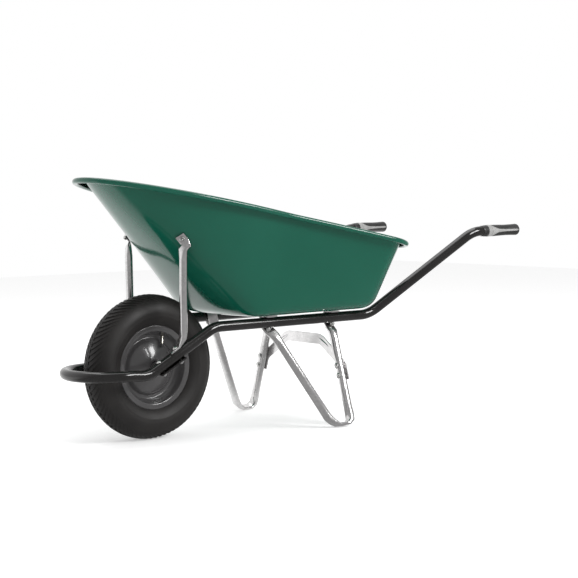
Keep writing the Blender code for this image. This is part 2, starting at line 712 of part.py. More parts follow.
def make_brace():
    """An arch of strip whose two ends run down along the rear runs of the legs."""
    frame = brace_frame()
    back = frame.inverted()
    crown = BRACE_CROWN_Z - frame.translation.z
    turn_place = back @ leg_run(1, "rear", BRACE_TURN_Z)
    end = back @ leg_run(1, "rear", BRACE_END_Z)
    corners = [Vector((0, crown, 0)), Vector((BRACE_SHOULDER_Y, crown, 0)),
               Vector((*turn_place.xy, 0)), Vector((*end.xy, 0))]
    middle = rounded_path(corners, BRACE_BEND_RADIUS, 5)
    upper, lower = [], []
    for i, point in enumerate(middle):
        ahead = middle[min(i + 1, len(middle) - 1)]
        behind = middle[max(i - 1, 0)]
        way = (ahead - behind).normalized() if i else Vector((1, 0, 0))
        height = lerp(BRACE_CROWN_HEIGHT, BRACE_END_HEIGHT, i / (len(middle) - 1))
        square = Vector((-way.y, way.x, 0)) * height / 2
        upper.append((point + square).xy)
        lower.append((point - square).xy)
    half = upper + lower[::-1]
    other_half = [Vector((-point.x, point.y)) for point in half[1:-1][::-1]]
    return add_part("cross_brace", plate_mesh("cross_brace", half + other_half, BRACE_STRIP), ZINC,
                    matrix=frame)


# ------------------------------------------------------------------ tray supports
def support_foot(side, x):
    """A place on the middle of the support's tab, on top of the diagonal tube."""
    return on_diagonal(side, x) + diagonal(side)[2] * (TUBE_R + GAP + FLAT_TAB / 2)


def make_support(name, side, seat):
    """A tube from the diagonal up to the tray's nose wall, its two ends pressed flat."""
    point, up, normal = seat
    half_tube, half_tab, half_wide = SUPPORT_TUBE / 2, FLAT_TAB / 2, SUPPORT_FLAT_WIDTH / 2
    lift = diagonal(side)[2]
    forward = Vector((-1, 0, 0))
    heel = support_foot(side, SUPPORT_X - 8 * MM)
    top_middle = point + normal * (SEAT_GAP + half_tab)
    bend = top_middle - up * ((SUPPORT_X - top_middle.x) / -up.x)
    tab_low = top_middle - up * TAB_REACH
    column_y = heel.y
    stations = [
        (support_foot(side, BRACKET_REAR_X - 18 * MM), lift, half_tab, half_wide),
        (support_foot(side, BRACKET_REAR_X + 9 * MM), lift, half_tab, half_wide),
        (heel + lift * 3 * MM, lift, half_tab * 1.6, half_wide * 0.95),
        (Vector((SUPPORT_X - 2 * MM, column_y, heel.z + 21 * MM)), forward + lift * 0.3,
         half_tube * 0.85, half_tube * 1.08),
        (Vector((SUPPORT_X, column_y, heel.z + 44 * MM)), forward, half_tube, half_tube),
        (Vector((SUPPORT_X, bend.y, bend.z - 52 * MM)), forward, half_tube, half_tube),
        (Vector((SUPPORT_X - 1 * MM, bend.y, bend.z - 28 * MM)), forward + normal * 0.4,
         half_tube * 0.7, half_tube * 1.15),
        (tab_low - up * 9 * MM + normal * 5 * MM, normal + forward * 0.3, half_tab * 1.5,
         half_wide * 0.95),
        (tab_low, normal, half_tab, half_wide),
        (top_middle + up * TAB_REACH, normal, half_tab, half_wide)]
    return add_part("tray_support_" + name, squashed_tube_mesh("tray_support_" + name, stations),
                    ZINC)


# ------------------------------------------------------------------ axle bracket
def make_bracket(name, side):
    """A strap under the diagonal tube, with a shelf inward and an ear down round the axle."""
    way, normal = diagonal(side)[1:]
    drop = TUBE_R + GAP + BRACKET_SHEET / 2
    front = on_diagonal(side, BRACKET_FRONT_X) - normal * drop
    rear = on_diagonal(side, BRACKET_REAR_X) - normal * drop
    across = way.cross(normal)
    turn = Matrix((way, across, normal)).transposed().to_4x4()
    length = (rear - front).length + 2 * BRACKET_SPARE
    strap = add_part("axle_bracket_" + name, box_mesh((length, BRACKET_WIDTH, BRACKET_SHEET)), BLACK,
                     matrix=Matrix.Translation((front + rear) / 2) @ turn)

    def strap_height(x):
        """Height of the strap's middle at x."""
        return lerp(front.z, rear.z, (x - front.x) / (rear.x - front.x))

    shelf_outer = abs(front.y)
    shelf_middle = Vector((0, side * (EAR_Y + shelf_outer) / 2, strap_height(0)))
    slope = Vector((way.x, 0, way.z)).normalized()
    sideways = Vector((0, 1, 0))
    shelf_turn = Matrix((slope, sideways, slope.cross(sideways))).transposed().to_4x4()
    shelf_size = (2 * EAR_HALF_WIDTH / slope.x, shelf_outer - EAR_Y + BRACKET_SHEET, BRACKET_SHEET)
    shelf = add_cutter(box_mesh(shelf_size), Matrix.Translation(shelf_middle) @ shelf_turn)
    boolean(strap, shelf, "UNION")

    outline = [(-EAR_HALF_WIDTH, strap_height(-EAR_HALF_WIDTH))]
    for angle in range(-75, 76, 25):
        turn_angle = math.radians(angle)
        outline.append((EAR_RADIUS * math.sin(turn_angle), AXLE_Z - EAR_RADIUS * math.cos(turn_angle)))
    outline.append((EAR_HALF_WIDTH, strap_height(EAR_HALF_WIDTH)))
    stand = along(Vector((0, side * EAR_Y, 0)), Vector((0, -1, 0)))
    ear = add_cutter(plate_mesh("ear", outline, BRACKET_SHEET), stand)
    boolean(strap, ear, "UNION")
    hole = add_cutter(cylinder_mesh(AXLE_DIAMETER / 2 + GAP, 10 * BRACKET_SHEET, 24),
                      along(Vector((0, side * EAR_Y, AXLE_Z)), Vector((0, 1, 0))))
    boolean(strap, hole)
    return strap


# ------------------------------------------------------------------ wheel
def wheel_matrix(side=1):
    """Local Z along the axle, towards one side."""
    return along(Vector((0, 0, 0)), Vector((0, side, 0)))


def tyre_profile():
    """Horseshoe section: outside from one bead to the other, then the inside back."""
    bead_radius = RIM_DIAMETER / 2 - 12 * MM
    bead_height, bead_thickness = 14.5 * MM, 9 * MM
    crown_radius = 48 * MM
    middle = WHEEL_R - crown_radius
    half = TYRE_WIDTH / 2

    def arc(shrink, angles):
        return [(middle + (crown_radius - shrink) * math.cos(a), (half - shrink) * math.sin(a))
                for a in (math.radians(angle) for angle in angles)]

    outer = arc(0, [138 - 27.6 * k for k in range(11)])
    inner = arc(TYRE_WALL, [31.5 * k - 126 for k in range(9)])
    bead_out = RIM_FLANGE_Y - GAP - RIM_SHEET / 2
    bead_in = bead_out - bead_thickness
    left = [(bead_radius + bead_height, -bead_out), (bead_radius, -bead_out),
            (bead_radius, -bead_in)]
    right = [(radius, -height) for radius, height in left[::-1]]
    return outer + left + inner + right


def rim_profile():
    """Middle of the pressed sheet of one rim half, from the flange's edge to the hub."""
    flange_radius = RIM_DIAMETER / 2
    seat_radius = flange_radius - 14 * MM
    well_radius = seat_radius - 12 * MM
    dish_radius = DISH_DIAMETER / 2
    joint = GAP / 2 + RIM_SHEET / 2
    hub_radius = HUB_DIAMETER / 2 + GAP + RIM_SHEET / 2
    return [(flange_radius, RIM_FLANGE_Y + 1 * MM), (flange_radius - 5 * MM, RIM_FLANGE_Y),
            (seat_radius + 1.5 * MM, RIM_FLANGE_Y), (seat_radius, RIM_FLANGE_Y - 2 * MM),
            (seat_radius - 3 * MM, 12 * MM), (well_radius, joint), (dish_radius + 3 * MM, joint),
            (dish_radius - 2 * MM, joint + 3 * MM), (dish_radius - 10 * MM, 15 * MM),
            (44 * MM, 23 * MM), (hub_radius, RIM_FLANGE_Y + 2 * MM)]


def make_hub():
    half = HUB_LENGTH / 2
    outer, inner = HUB_DIAMETER / 2, HUB_DIAMETER / 2 - HUB_WALL
    turned("hub_tube", [(outer, half), (outer, -half), (inner, -half), (inner, half)],
           RIM_GREY, wheel_matrix(), ring=True, parent=WHEEL_PIVOT)
    bore = AXLE_DIAMETER / 2 + GAP
    for name, side in SIDES:
        turned("hub_bearing_" + name,
               [(BEARING_RADIUS, half), (BEARING_RADIUS, half - BEARING_WIDTH),
                (bore, half - BEARING_WIDTH), (bore, half)],
               GRIP_BLACK, wheel_matrix(side), ring=True, parent=WHEEL_PIVOT)


def valve_place():
    """Local Z along the valve, from inside the tyre out through the left rim half."""
    lean = math.radians(VALVE_LEAN)
    root = Vector((0, -3 * MM, RIM_DIAMETER / 2 - 2.5 * MM))
    way = Vector((0, -math.sin(lean), -math.cos(lean)))
    return Matrix.Rotation(math.radians(VALVE_ANGLE), 4, "Y") @ along(root, way)


def make_valve(tube, rims):
    """The stem and its cap, and the hole for them in the inner tube and the rim."""
    place = valve_place()
    stem, tip = VALVE_DIAMETER / 2, 2.6 * MM
    shoulder = VALVE_LENGTH - 7 * MM
    turned("valve_stem", [(0, VALVE_LENGTH), (tip, VALVE_LENGTH), (tip, shoulder + 1 * MM),
                          (stem, shoulder), (stem, 0), (0, 0)], ZINC, place, steps=12,
           parent=WHEEL_PIVOT)
    bore, outer = tip + GAP, stem + 0.2 * MM
    cap_low, cap_top = shoulder + 1.2 * MM, VALVE_LENGTH + 3 * MM
    turned("valve_cap", [(0, cap_top), (outer - 1 * MM, cap_top), (outer, cap_top - 1 * MM),
                         (outer, cap_low), (bore, cap_low), (bore, VALVE_LENGTH + GAP),
                         (0, VALVE_LENGTH + GAP)], GRIP_BLACK, place, steps=12, parent=WHEEL_PIVOT)
    hole = add_cutter(cylinder_mesh(stem + GAP, 80 * MM, 12), place, WHEEL_PIVOT)
    for piece in (tube, *rims):
        boolean(piece, hole)


def make_wheel():
    turned("tyre", tyre_profile(), RUBBER, wheel_matrix(), steps=48, ring=True, parent=WHEEL_PIVOT)
    outer = WHEEL_R - TYRE_WALL - 1 * MM
    middle = WHEEL_R - TYRE_WIDTH / 2
    half_height = (outer - middle) * 0.96
    half_width = (TYRE_WIDTH / 2 - TYRE_WALL) * 0.88
    section = [(middle + half_height * math.cos(a), half_width * math.sin(a))
               for a in (-math.radians(36 * k) for k in range(10))]
    tube = turned("inner_tube", section, RUBBER, wheel_matrix(), steps=24, ring=True,
                  parent=WHEEL_PIVOT, wall=TUBE_WALL)
    rims = [turned("rim_" + name, rim_profile(), RIM_GREY, wheel_matrix(side), steps=32,
                   parent=WHEEL_PIVOT, wall=RIM_SHEET) for name, side in SIDES]
    make_hub()
    make_valve(tube, rims)


def make_axle():
    """The axle, and on each side a spacer inside the ear and a nut outside it."""
    radius = AXLE_DIAMETER / 2
    chamfer = 1 * MM
    nut_seat = EAR_Y + BRACKET_SHEET / 2
    half = nut_seat + GAP + AXLE_NUT_HEIGHT + BOLT_SPARE
    turned("axle", [(0, half), (radius - chamfer, half), (radius, half - chamfer),
                    (radius, chamfer - half), (radius - chamfer, -half), (0, -half)],
           ZINC, Matrix.Translation((0, 0, AXLE_Z)) @ wheel_matrix(), steps=24)
    inner_end, outer_end = HUB_LENGTH / 2 + GAP, EAR_Y - BRACKET_SHEET / 2 - GAP
    bore = radius + GAP
    outer = bore + SPACER_WALL
    for name, side in SIDES:
        turned("axle_spacer_" + name, [(outer, outer_end), (outer, inner_end), (bore, inner_end),
                                       (bore, outer_end)], ZINC,
               Matrix.Translation((0, 0, AXLE_Z)) @ wheel_matrix(side), ring=True)
        nut("axle_nut_" + name, Vector((0, side * nut_seat, AXLE_Z)), Vector((0, side, 0)),
            hole=AXLE_DIAMETER, width=AXLE_NUT_WIDTH, height=AXLE_NUT_HEIGHT)


# ------------------------------------------------------------------ bolted joints
def bolt_tray(name, side, tray, leg, frame):
    """Down through the tray's floor, the leg's two tabs and the rail."""
    down = Vector((0, 0, -1))
    top, bottom = FLOOR_Z + TRAY_SHEET, RAIL_HEIGHT - TUBE_R
    for place, x in (("front", FRONT_LEG_X), ("rear", REAR_LEG_X)):
        head_face = Vector((x, side * rail_y(x), top))
        drill(head_face, down, tray, leg, frame)
        bolt(f"tray_bolt_{place}_{name}", head_face, down, top - bottom)
        nut(f"tray_nut_{place}_{name}", Vector((x, side * rail_y(x), bottom)), down)


def bolt_bracket(name, side, frame, bracket, support):
    """Through the diagonal tube: the strap below it and, on the rear bolt, the support above."""
    lift = diagonal(side)[2]
    under = TUBE_R + GAP + BRACKET_SHEET
    for place, x, above, pieces in (
            ("front", BRACKET_FRONT_X, TUBE_R, (frame, bracket)),
            ("rear", BRACKET_REAR_X, TUBE_R + GAP + FLAT_TAB, (frame, bracket, support))):
        middle = on_diagonal(side, x)
        drill(middle, lift, *pieces)
        bolt(f"bracket_bolt_{place}_{name}", middle + lift * above, -lift, above + under)
        nut(f"bracket_nut_{place}_{name}", middle - lift * under, -lift)


def bolt_support(name, seat, tray, support):
    """From inside the tray's nose wall out through the support's top tab."""
    point, normal = seat[0], seat[2]
    inside = TRAY_SHEET + 1.5 * SEAT_GAP
    outside = SEAT_GAP + FLAT_TAB
    drill(point, normal, tray, support, depth=50 * MM)
    bolt("support_bolt_" + name, point - normal * inside, normal, inside + outside)
    nut("support_nut_" + name, point + normal * outside, normal)


def bolt_brace(name, side, leg, brace):
    """Through the leg's rear run and the strip behind it."""
    behind = brace_frame().to_3x3() @ Vector((0, 0, 1))
    leg_half = LEG_TUBE / 2
    for place, height in zip(("lower", "upper"), BRACE_BOLT_HEIGHTS):
        middle = leg_run(side, "rear", height)
        drill(middle, behind, leg, brace)
        bolt(f"brace_bolt_{place}_{name}", middle - behind * leg_half, behind,
             LEG_TUBE + GAP + BRACE_STRIP)
        nut(f"brace_nut_{place}_{name}", middle + behind * (leg_half + GAP + BRACE_STRIP), behind)


# ------------------------------------------------------------------ assembly
def assemble():
    frame = make_frame()
    tray = make_tray()
    brace = make_brace()
    make_wheel()
    make_axle()
    for name, side in SIDES:
        make_grip(name, side)
        leg = make_leg(name, side)
        seat = wall_at(side, SUPPORT_SEAT_Y, SUPPORT_SEAT_Z)
        support = make_support(name, side, seat)
        bracket = make_bracket(name, side)
        bolt_tray(name, side, tray, leg, frame)
        bolt_bracket(name, side, frame, bracket, support)
        bolt_support(name, seat, tray, support)
        bolt_brace(name, side, leg, brace)


assemble()
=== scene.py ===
# %% [markdown]
# # A garden wheelbarrow
# A wheelbarrow is a pressed steel tray bolted to one long bent tube, which runs from one
# grip, round in front of the wheel and back to the other grip. We start from a packed
# engineering model, which fixes every size, and give each piece its real surface here.
# %% Load the fixed frame
import json
import math

import bmesh
import bpy
from mathutils import Matrix, Vector


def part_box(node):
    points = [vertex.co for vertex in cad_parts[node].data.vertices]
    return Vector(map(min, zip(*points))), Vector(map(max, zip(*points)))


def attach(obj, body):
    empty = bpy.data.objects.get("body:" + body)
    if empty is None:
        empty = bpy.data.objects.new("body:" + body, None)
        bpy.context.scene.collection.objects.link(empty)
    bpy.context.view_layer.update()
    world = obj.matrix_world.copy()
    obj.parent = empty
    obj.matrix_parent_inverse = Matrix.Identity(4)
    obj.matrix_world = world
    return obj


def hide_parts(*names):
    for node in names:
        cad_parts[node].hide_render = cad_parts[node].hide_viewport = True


MM = 0.001
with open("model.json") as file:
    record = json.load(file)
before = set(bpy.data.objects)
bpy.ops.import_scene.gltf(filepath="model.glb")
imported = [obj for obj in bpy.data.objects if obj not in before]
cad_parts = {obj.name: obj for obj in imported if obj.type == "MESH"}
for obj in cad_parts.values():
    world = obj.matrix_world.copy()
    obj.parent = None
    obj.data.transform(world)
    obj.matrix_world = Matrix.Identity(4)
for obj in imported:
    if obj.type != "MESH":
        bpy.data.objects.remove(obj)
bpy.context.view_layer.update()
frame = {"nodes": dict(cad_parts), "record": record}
scene = bpy.context.scene
print("nodes:", len(frame["nodes"]))

# %% [markdown]
# ## Where the main points lie
# The axle is the natural centre for everything round it. The frame tube follows a few
# corners, measured back from the axle, so all of them are written as distances from it.
# %% Name the places that several pieces share
axle_low, axle_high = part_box("axle")
AXLE = (axle_low + axle_high) / 2
UP = Vector((0, 0, 1))


def lerp(a, b, share):
    return a + (b - a) * share


def from_axle(x, y, z):
    """A place given in millimetres behind the axle, to the right of it and above the ground."""
    return Vector((AXLE.x + x * MM, y * MM, z * MM))


def aligned(place, direction):
    """A matrix that carries local Z to direction and the local origin to place."""
    z_axis = Vector(direction).normalized()
    x_axis = UP.cross(z_axis).normalized()
    turn = Matrix((x_axis, z_axis.cross(x_axis), z_axis)).transposed().to_4x4()
    return Matrix.Translation(place) @ turn


print("axle at", tuple(round(v, 4) for v in AXLE))

# %% [markdown]
# ## The camera
# A long lens a few metres away keeps the barrow's proportions honest. Azimuth, elevation
# and a trace of roll give the direction, and depth of field stays off.
# %% Place the camera
CAMERA_PLACE = Vector((-2.6922, -3.2095, 0.6795))
AZIMUTH, ELEVATION, ROLL = math.radians(-40.44), math.radians(3.954), math.radians(-0.461)
lens = bpy.data.cameras.new("long_lens")
lens.lens, lens.sensor_width = 88.3, 36
camera = bpy.data.objects.new("camera", lens)
scene.collection.objects.link(camera)
back = Vector((math.sin(AZIMUTH) * math.cos(ELEVATION),
               -math.cos(AZIMUTH) * math.cos(ELEVATION), math.sin(ELEVATION)))
level = (-back).cross(UP).normalized()
upward = level.cross(-back)
right = level * math.cos(ROLL) + upward * math.sin(ROLL)
above = upward * math.cos(ROLL) - level * math.sin(ROLL)
facing = Matrix((right, above, back)).transposed().to_4x4()
camera.matrix_world = Matrix.Translation(CAMERA_PLACE) @ facing
scene.camera = camera
scene.view_settings.view_transform = "Standard"
print("camera", round((CAMERA_PLACE - AXLE).length, 2), "m from the axle")

# %% [markdown]
# ## Shared effects
# Paint, zinc and rubber all need uneven tone and a fine relief. Each effect is a node
# group with named sockets, so a material only chooses its scale and its strength.
# %% Define helpers for the node groups
def new_group(name, inputs, outputs):
    """An empty shader group with its sockets, its input node and its output node."""
    group = bpy.data.node_groups.new(name, "ShaderNodeTree")
    for kind, label, default in inputs:
        socket = group.interface.new_socket(label, in_out="INPUT", socket_type="NodeSocket" + kind)
        socket.default_value = default
    for kind, label in outputs:
        group.interface.new_socket(label, in_out="OUTPUT", socket_type="NodeSocket" + kind)
    return group, group.nodes.new("NodeGroupInput"), group.nodes.new("NodeGroupOutput")


def noise_node(tree, scale, detail):
    """A noise texture on object coordinates, whose scale comes from a socket."""
    place = tree.nodes.new("ShaderNodeTexCoord")
    noise = tree.nodes.new("ShaderNodeTexNoise")
    noise.inputs["Detail"].default_value = detail
    tree.links.new(place.outputs["Object"], noise.inputs["Vector"])
    tree.links.new(scale, noise.inputs["Scale"])
    return noise


def map_range(tree, value, source=(0.0, 1.0), target=(0.0, 1.0)):
    """A node that carries a socket's value from the source range to the target range."""
    node = tree.nodes.new("ShaderNodeMapRange")
    tree.links.new(value, node.inputs["Value"])
    for socket, number in zip(("From Min", "From Max", "To Min", "To Max"), (*source, *target)):
        node.inputs[socket].default_value = number
    return node


print("group helpers ready")

# %% Build the shared node groups
RELIEF_DEPTH = 0.5 * MM
RELIEF_DETAIL, CLOUD_DETAIL = 2.0, 4.0
CLOUD_CONTRAST = (0.35, 0.65)


def make_relief_group():
    """Fine relief from noise, as a normal."""
    group, given, result = new_group("fine relief", [("Float", "Scale", 600.0), ("Float", "Strength", 0.1)],
                                     [("Vector", "Normal")])
    noise = noise_node(group, given.outputs["Scale"], RELIEF_DETAIL)
    bump = group.nodes.new("ShaderNodeBump")
    bump.inputs["Distance"].default_value = RELIEF_DEPTH
    group.links.new(given.outputs["Strength"], bump.inputs["Strength"])
    group.links.new(noise.outputs["Fac"], bump.inputs["Height"])
    group.links.new(bump.outputs["Normal"], result.inputs["Normal"])
    return group


def make_tone_group():
    """Two tones of one colour in soft clouds, with a roughness that follows them."""
    group, given, result = new_group(
        "cloudy tone",
        [("Color", "Tone A", (0.5, 0.5, 0.5, 1)), ("Color", "Tone B", (0.4, 0.4, 0.4, 1)),
         ("Float", "Scale", 6.0), ("Float", "Smooth", 0.2), ("Float", "Rough", 0.3)],
        [("Color", "Color"), ("Float", "Roughness")])
    noise = noise_node(group, given.outputs["Scale"], CLOUD_DETAIL)
    contrast = map_range(group, noise.outputs["Fac"], source=CLOUD_CONTRAST)
    mix = group.nodes.new("ShaderNodeMix")
    mix.data_type = "RGBA"
    group.links.new(contrast.outputs["Result"], mix.inputs["Factor"])
    group.links.new(given.outputs["Tone A"], mix.inputs["A"])
    group.links.new(given.outputs["Tone B"], mix.inputs["B"])
    rough = map_range(group, contrast.outputs["Result"])
    group.links.new(given.outputs["Smooth"], rough.inputs["To Min"])
    group.links.new(given.outputs["Rough"], rough.inputs["To Max"])
    group.links.new(mix.outputs["Result"], result.inputs["Color"])
    group.links.new(rough.outputs["Result"], result.inputs["Roughness"])
    return group


def make_spangle_group():
    """The crystal pattern of a zinc coat: flat cells of slightly different brightness."""
    group, given, result = new_group("zinc spangle", [("Float", "Scale", 90.0)], [("Float", "Brightness")])
    place = group.nodes.new("ShaderNodeTexCoord")
    cells = group.nodes.new("ShaderNodeTexVoronoi")
    group.links.new(place.outputs["Object"], cells.inputs["Vector"])
    group.links.new(given.outputs["Scale"], cells.inputs["Scale"])
    grey = group.nodes.new("ShaderNodeRGBToBW")
    group.links.new(cells.outputs["Color"], grey.inputs["Color"])
    group.links.new(grey.outputs["Val"], result.inputs["Brightness"])
    return group


RELIEF, TONE, SPANGLE = make_relief_group(), make_tone_group(), make_spangle_group()
print("groups:", RELIEF.name, TONE.name, SPANGLE.name)

# %% [markdown]
# ## The finishes
# Every finish is a Principled shader. Values that are the same all over sit on its own
# sockets. Only tone, roughness and relief arrive from the groups, because they change
# over the surface.
# %% Define how a finish is made
def finish(name, tone_a, tone_b, cloud, smooth, rough, relief, strength, **fixed):
    """A Principled material with cloudy tone, uneven gloss and fine relief."""
    material = bpy.data.materials.new(name)
    material.use_nodes = True
    tree = material.node_tree
    shader = tree.nodes["Principled BSDF"]
    tone = tree.nodes.new("ShaderNodeGroup")
    tone.node_tree = TONE
    tone.inputs["Tone A"].default_value = (*tone_a, 1)
    tone.inputs["Tone B"].default_value = (*tone_b, 1)
    tone.inputs["Scale"].default_value = cloud
    tone.inputs["Smooth"].default_value = smooth
    tone.inputs["Rough"].default_value = rough
    tree.links.new(tone.outputs["Color"], shader.inputs["Base Color"])
    tree.links.new(tone.outputs["Roughness"], shader.inputs["Roughness"])
    surface = tree.nodes.new("ShaderNodeGroup")
    surface.node_tree = RELIEF
    surface.inputs["Scale"].default_value = relief
    surface.inputs["Strength"].default_value = strength
    tree.links.new(surface.outputs["Normal"], shader.inputs["Normal"])
    for socket, value in fixed.items():
        shader.inputs[socket.replace("_", " ")].default_value = value
    return material


def add_spangle(material, scale, low, high):
    """Multiplies a metal's tone by the brightness of its zinc crystals."""
    tree = material.node_tree
    shader = tree.nodes["Principled BSDF"]
    tone = shader.inputs["Base Color"].links[0].from_socket
    cells = tree.nodes.new("ShaderNodeGroup")
    cells.node_tree = SPANGLE
    cells.inputs["Scale"].default_value = scale
    level = map_range(tree, cells.outputs["Brightness"], target=(low, high))
    shade = tree.nodes.new("ShaderNodeMix")
    shade.data_type, shade.blend_type = "RGBA", "MULTIPLY"
    shade.inputs["Factor"].default_value = 1.0
    tree.links.new(tone, shade.inputs["A"])
    tree.links.new(level.outputs["Result"], shade.inputs["B"])
    tree.links.new(shade.outputs["Result"], shader.inputs["Base Color"])


print("finish helpers ready")

# %% Choose the finishes
TRAY_GREEN = finish("tray green enamel", (0.0024, 0.070, 0.043), (0.0032, 0.078, 0.049), cloud=3.0,
                    smooth=0.10, rough=0.16, relief=420, strength=0.03,
                    Coat_Weight=0.15, Coat_Roughness=0.05)
FRAME_BLACK = finish("frame black enamel", (0.006, 0.0055, 0.005), (0.010, 0.009, 0.009), cloud=8.0,
                     smooth=0.12, rough=0.20, relief=500, strength=0.04,
                     Coat_Weight=0.3, Coat_Roughness=0.06)
RIM_GREY = finish("rim dark grey paint", (0.058, 0.056, 0.057), (0.070, 0.068, 0.069), cloud=9.0,
                  smooth=0.16, rough=0.24, relief=450, strength=0.04,
                  Coat_Weight=0.5, Coat_Roughness=0.06)
GALVANISED = finish("galvanised steel", (0.80, 0.79, 0.79), (0.68, 0.67, 0.67), cloud=14.0,
                    smooth=0.16, rough=0.28, relief=700, strength=0.05, Metallic=1.0)
add_spangle(GALVANISED, scale=160, low=0.90, high=1.04)
ZINC_PLATE = finish("zinc plated steel", (0.72, 0.72, 0.70), (0.60, 0.60, 0.60), cloud=60.0,
                    smooth=0.20, rough=0.34, relief=1500, strength=0.05, Metallic=1.0)
add_spangle(ZINC_PLATE, scale=900, low=0.90, high=1.04)
TYRE_BLACK = finish("tyre rubber", (0.0105, 0.0090, 0.0085), (0.0165, 0.0145, 0.0135), cloud=16.0,
                    smooth=0.48, rough=0.62, relief=1300, strength=0.18, Specular_IOR_Level=0.45)
TUBE_BLACK = finish("inner tube rubber", (0.03, 0.03, 0.03), (0.04, 0.04, 0.04), cloud=12.0,
                    smooth=0.6, rough=0.75, relief=900, strength=0.1)
GRIP_BLACK = finish("grip black rubber", (0.014, 0.014, 0.014), (0.020, 0.020, 0.020), cloud=40.0,
                    smooth=0.38, rough=0.50, relief=2200, strength=0.16)
GRIP_GREY = finish("grip grey rubber", (0.30, 0.30, 0.295), (0.25, 0.25, 0.245), cloud=50.0,
                   smooth=0.36, rough=0.48, relief=2200, strength=0.12)
NYLON_BLACK = finish("bush nylon", (0.03, 0.03, 0.03), (0.04, 0.04, 0.04), cloud=80.0,
                     smooth=0.35, rough=0.5, relief=1800, strength=0.08)
NICKEL = finish("nickel plated valve", (0.74, 0.71, 0.64), (0.62, 0.59, 0.53), cloud=200.0,
                smooth=0.2, rough=0.34, relief=2500, strength=0.05, Metallic=1.0)
SLOT_FINISH = {"tray_paint": TRAY_GREEN, "frame_paint": FRAME_BLACK, "rim_paint": RIM_GREY,
               "galvanised": GALVANISED, "zinc_plated": ZINC_PLATE, "tyre_rubber": TYRE_BLACK,
               "tube_rubber": TUBE_BLACK, "grip_black": GRIP_BLACK, "grip_grey": GRIP_GREY,
               "bearing_nylon": NYLON_BLACK, "valve_metal": NICKEL, "valve_cap_plastic": NYLON_BLACK}
NODE_SLOT = {row["node"]: row["material_slot"] for row in frame["record"]["subparts"]}
NODE_BODY = {node: body
             for body, nodes in frame["record"]["behaviour"]["bodies"].items() for node in nodes}
print("finishes:", ", ".join(sorted(SLOT_FINISH)))

# %% [markdown]
# ## Handing a piece over
# A finished mesh becomes an object at the origin, rides on its body, takes its slot and
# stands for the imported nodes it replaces. One function does it all, so none is forgotten.
# %% Define the helpers that every piece uses
MERGE_DISTANCE = 0.01 * MM


def hand_over(name, bm, *nodes, sharp=35):
    """Makes the object of a finished mesh, which replaces nodes and rides where they ride."""
    mesh = bpy.data.meshes.new(name)
    bm.to_mesh(mesh)
    bm.free()
    mesh.shade_smooth()
    mesh.set_sharp_from_angle(angle=math.radians(sharp))
    piece = bpy.data.objects.new(name, mesh)
    scene.collection.objects.link(piece)
    slot = NODE_SLOT[nodes[0]]
    mesh.materials.append(SLOT_FINISH[slot])
    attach(piece, NODE_BODY[nodes[0]])
    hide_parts(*nodes)
    return piece


def rounded_edges(piece, width):
    """A narrow bevel on the edges that turn by more than 40 degrees."""
    bevel = piece.modifiers.new("edges", "BEVEL")
    bevel.width, bevel.segments = width, 2
    bevel.limit_method, bevel.angle_limit = "ANGLE", math.radians(40)
    bevel.use_clamp_overlap = True


def sheet_wall(piece, thickness, side=0):
    """A Solidify wall: half each way for side 0, or all of it outwards for side 1."""
    wall = piece.modifiers.new("sheet", "SOLIDIFY")
    wall.thickness, wall.offset = thickness, side


def spun(profile, place, steps, closed=False):
    """A profile of (radius, along) points turned about local Z, then carried to its place."""
    bm = bmesh.new()
    points = [bm.verts.new((radius, 0, along)) for radius, along in profile]
    edges = [bm.edges.new(pair) for pair in zip(points, points[1:])]
    if closed:
        edges.append(bm.edges.new((points[-1], points[0])))
    bmesh.ops.spin(bm, geom=points + edges, cent=(0, 0, 0), axis=(0, 0, 1), angle=2 * math.pi,
                   steps=steps, use_merge=True)
    bmesh.ops.remove_doubles(bm, verts=bm.verts, dist=MERGE_DISTANCE)
    bmesh.ops.recalc_face_normals(bm, faces=bm.faces)
    bmesh.ops.transform(bm, matrix=place, verts=bm.verts)
    return bm


def wheel_place(side=1):
    """The wheel's own place, with local Z along the axle, towards one side."""
    return aligned(AXLE, Vector((0, side, 0)))


print("helpers ready")

# %% [markdown]
# ## The tray
# A press draws the tray from one sheet: a flat floor, a generous fillet, straight flaring
# walls, and an edge rolled over into a bead. Both outlines share their points, so a wall
# is the ruled surface between them. We lay down the floor's loop and extrude it upward
# ring by ring, which is how a loft grows by hand. Each outline has half a superellipse
# for its nose, a straight line for each side and an arc at each rear corner.
# %% Draw the two outlines of the tray
NOSE_STEPS, SIDE_STEPS, CORNER_STEPS = 22, 8, 8
TRAY_SHEET, BEAD_RADIUS, FLOOR_FILLET = 1.2 * MM, 7.5 * MM, 40 * MM
EDGE = {"nose": -203.6 * MM, "length": 546 * MM, "power": 2.13, "front": 228 * MM, "rear": 303.4 * MM,
        "end": 750.2 * MM, "corner": 84 * MM, "ease": 1.5}
FLOOR = {"nose": 204 * MM, "length": 70 * MM, "power": 2.4, "front": 190 * MM, "rear": 197 * MM,
         "end": 702 * MM, "corner": 68 * MM, "ease": 1.0}
FLOOR_MIDDLE_Z = 330.7 * MM
REAR_SHARES = (0.34, 0.67, 1)


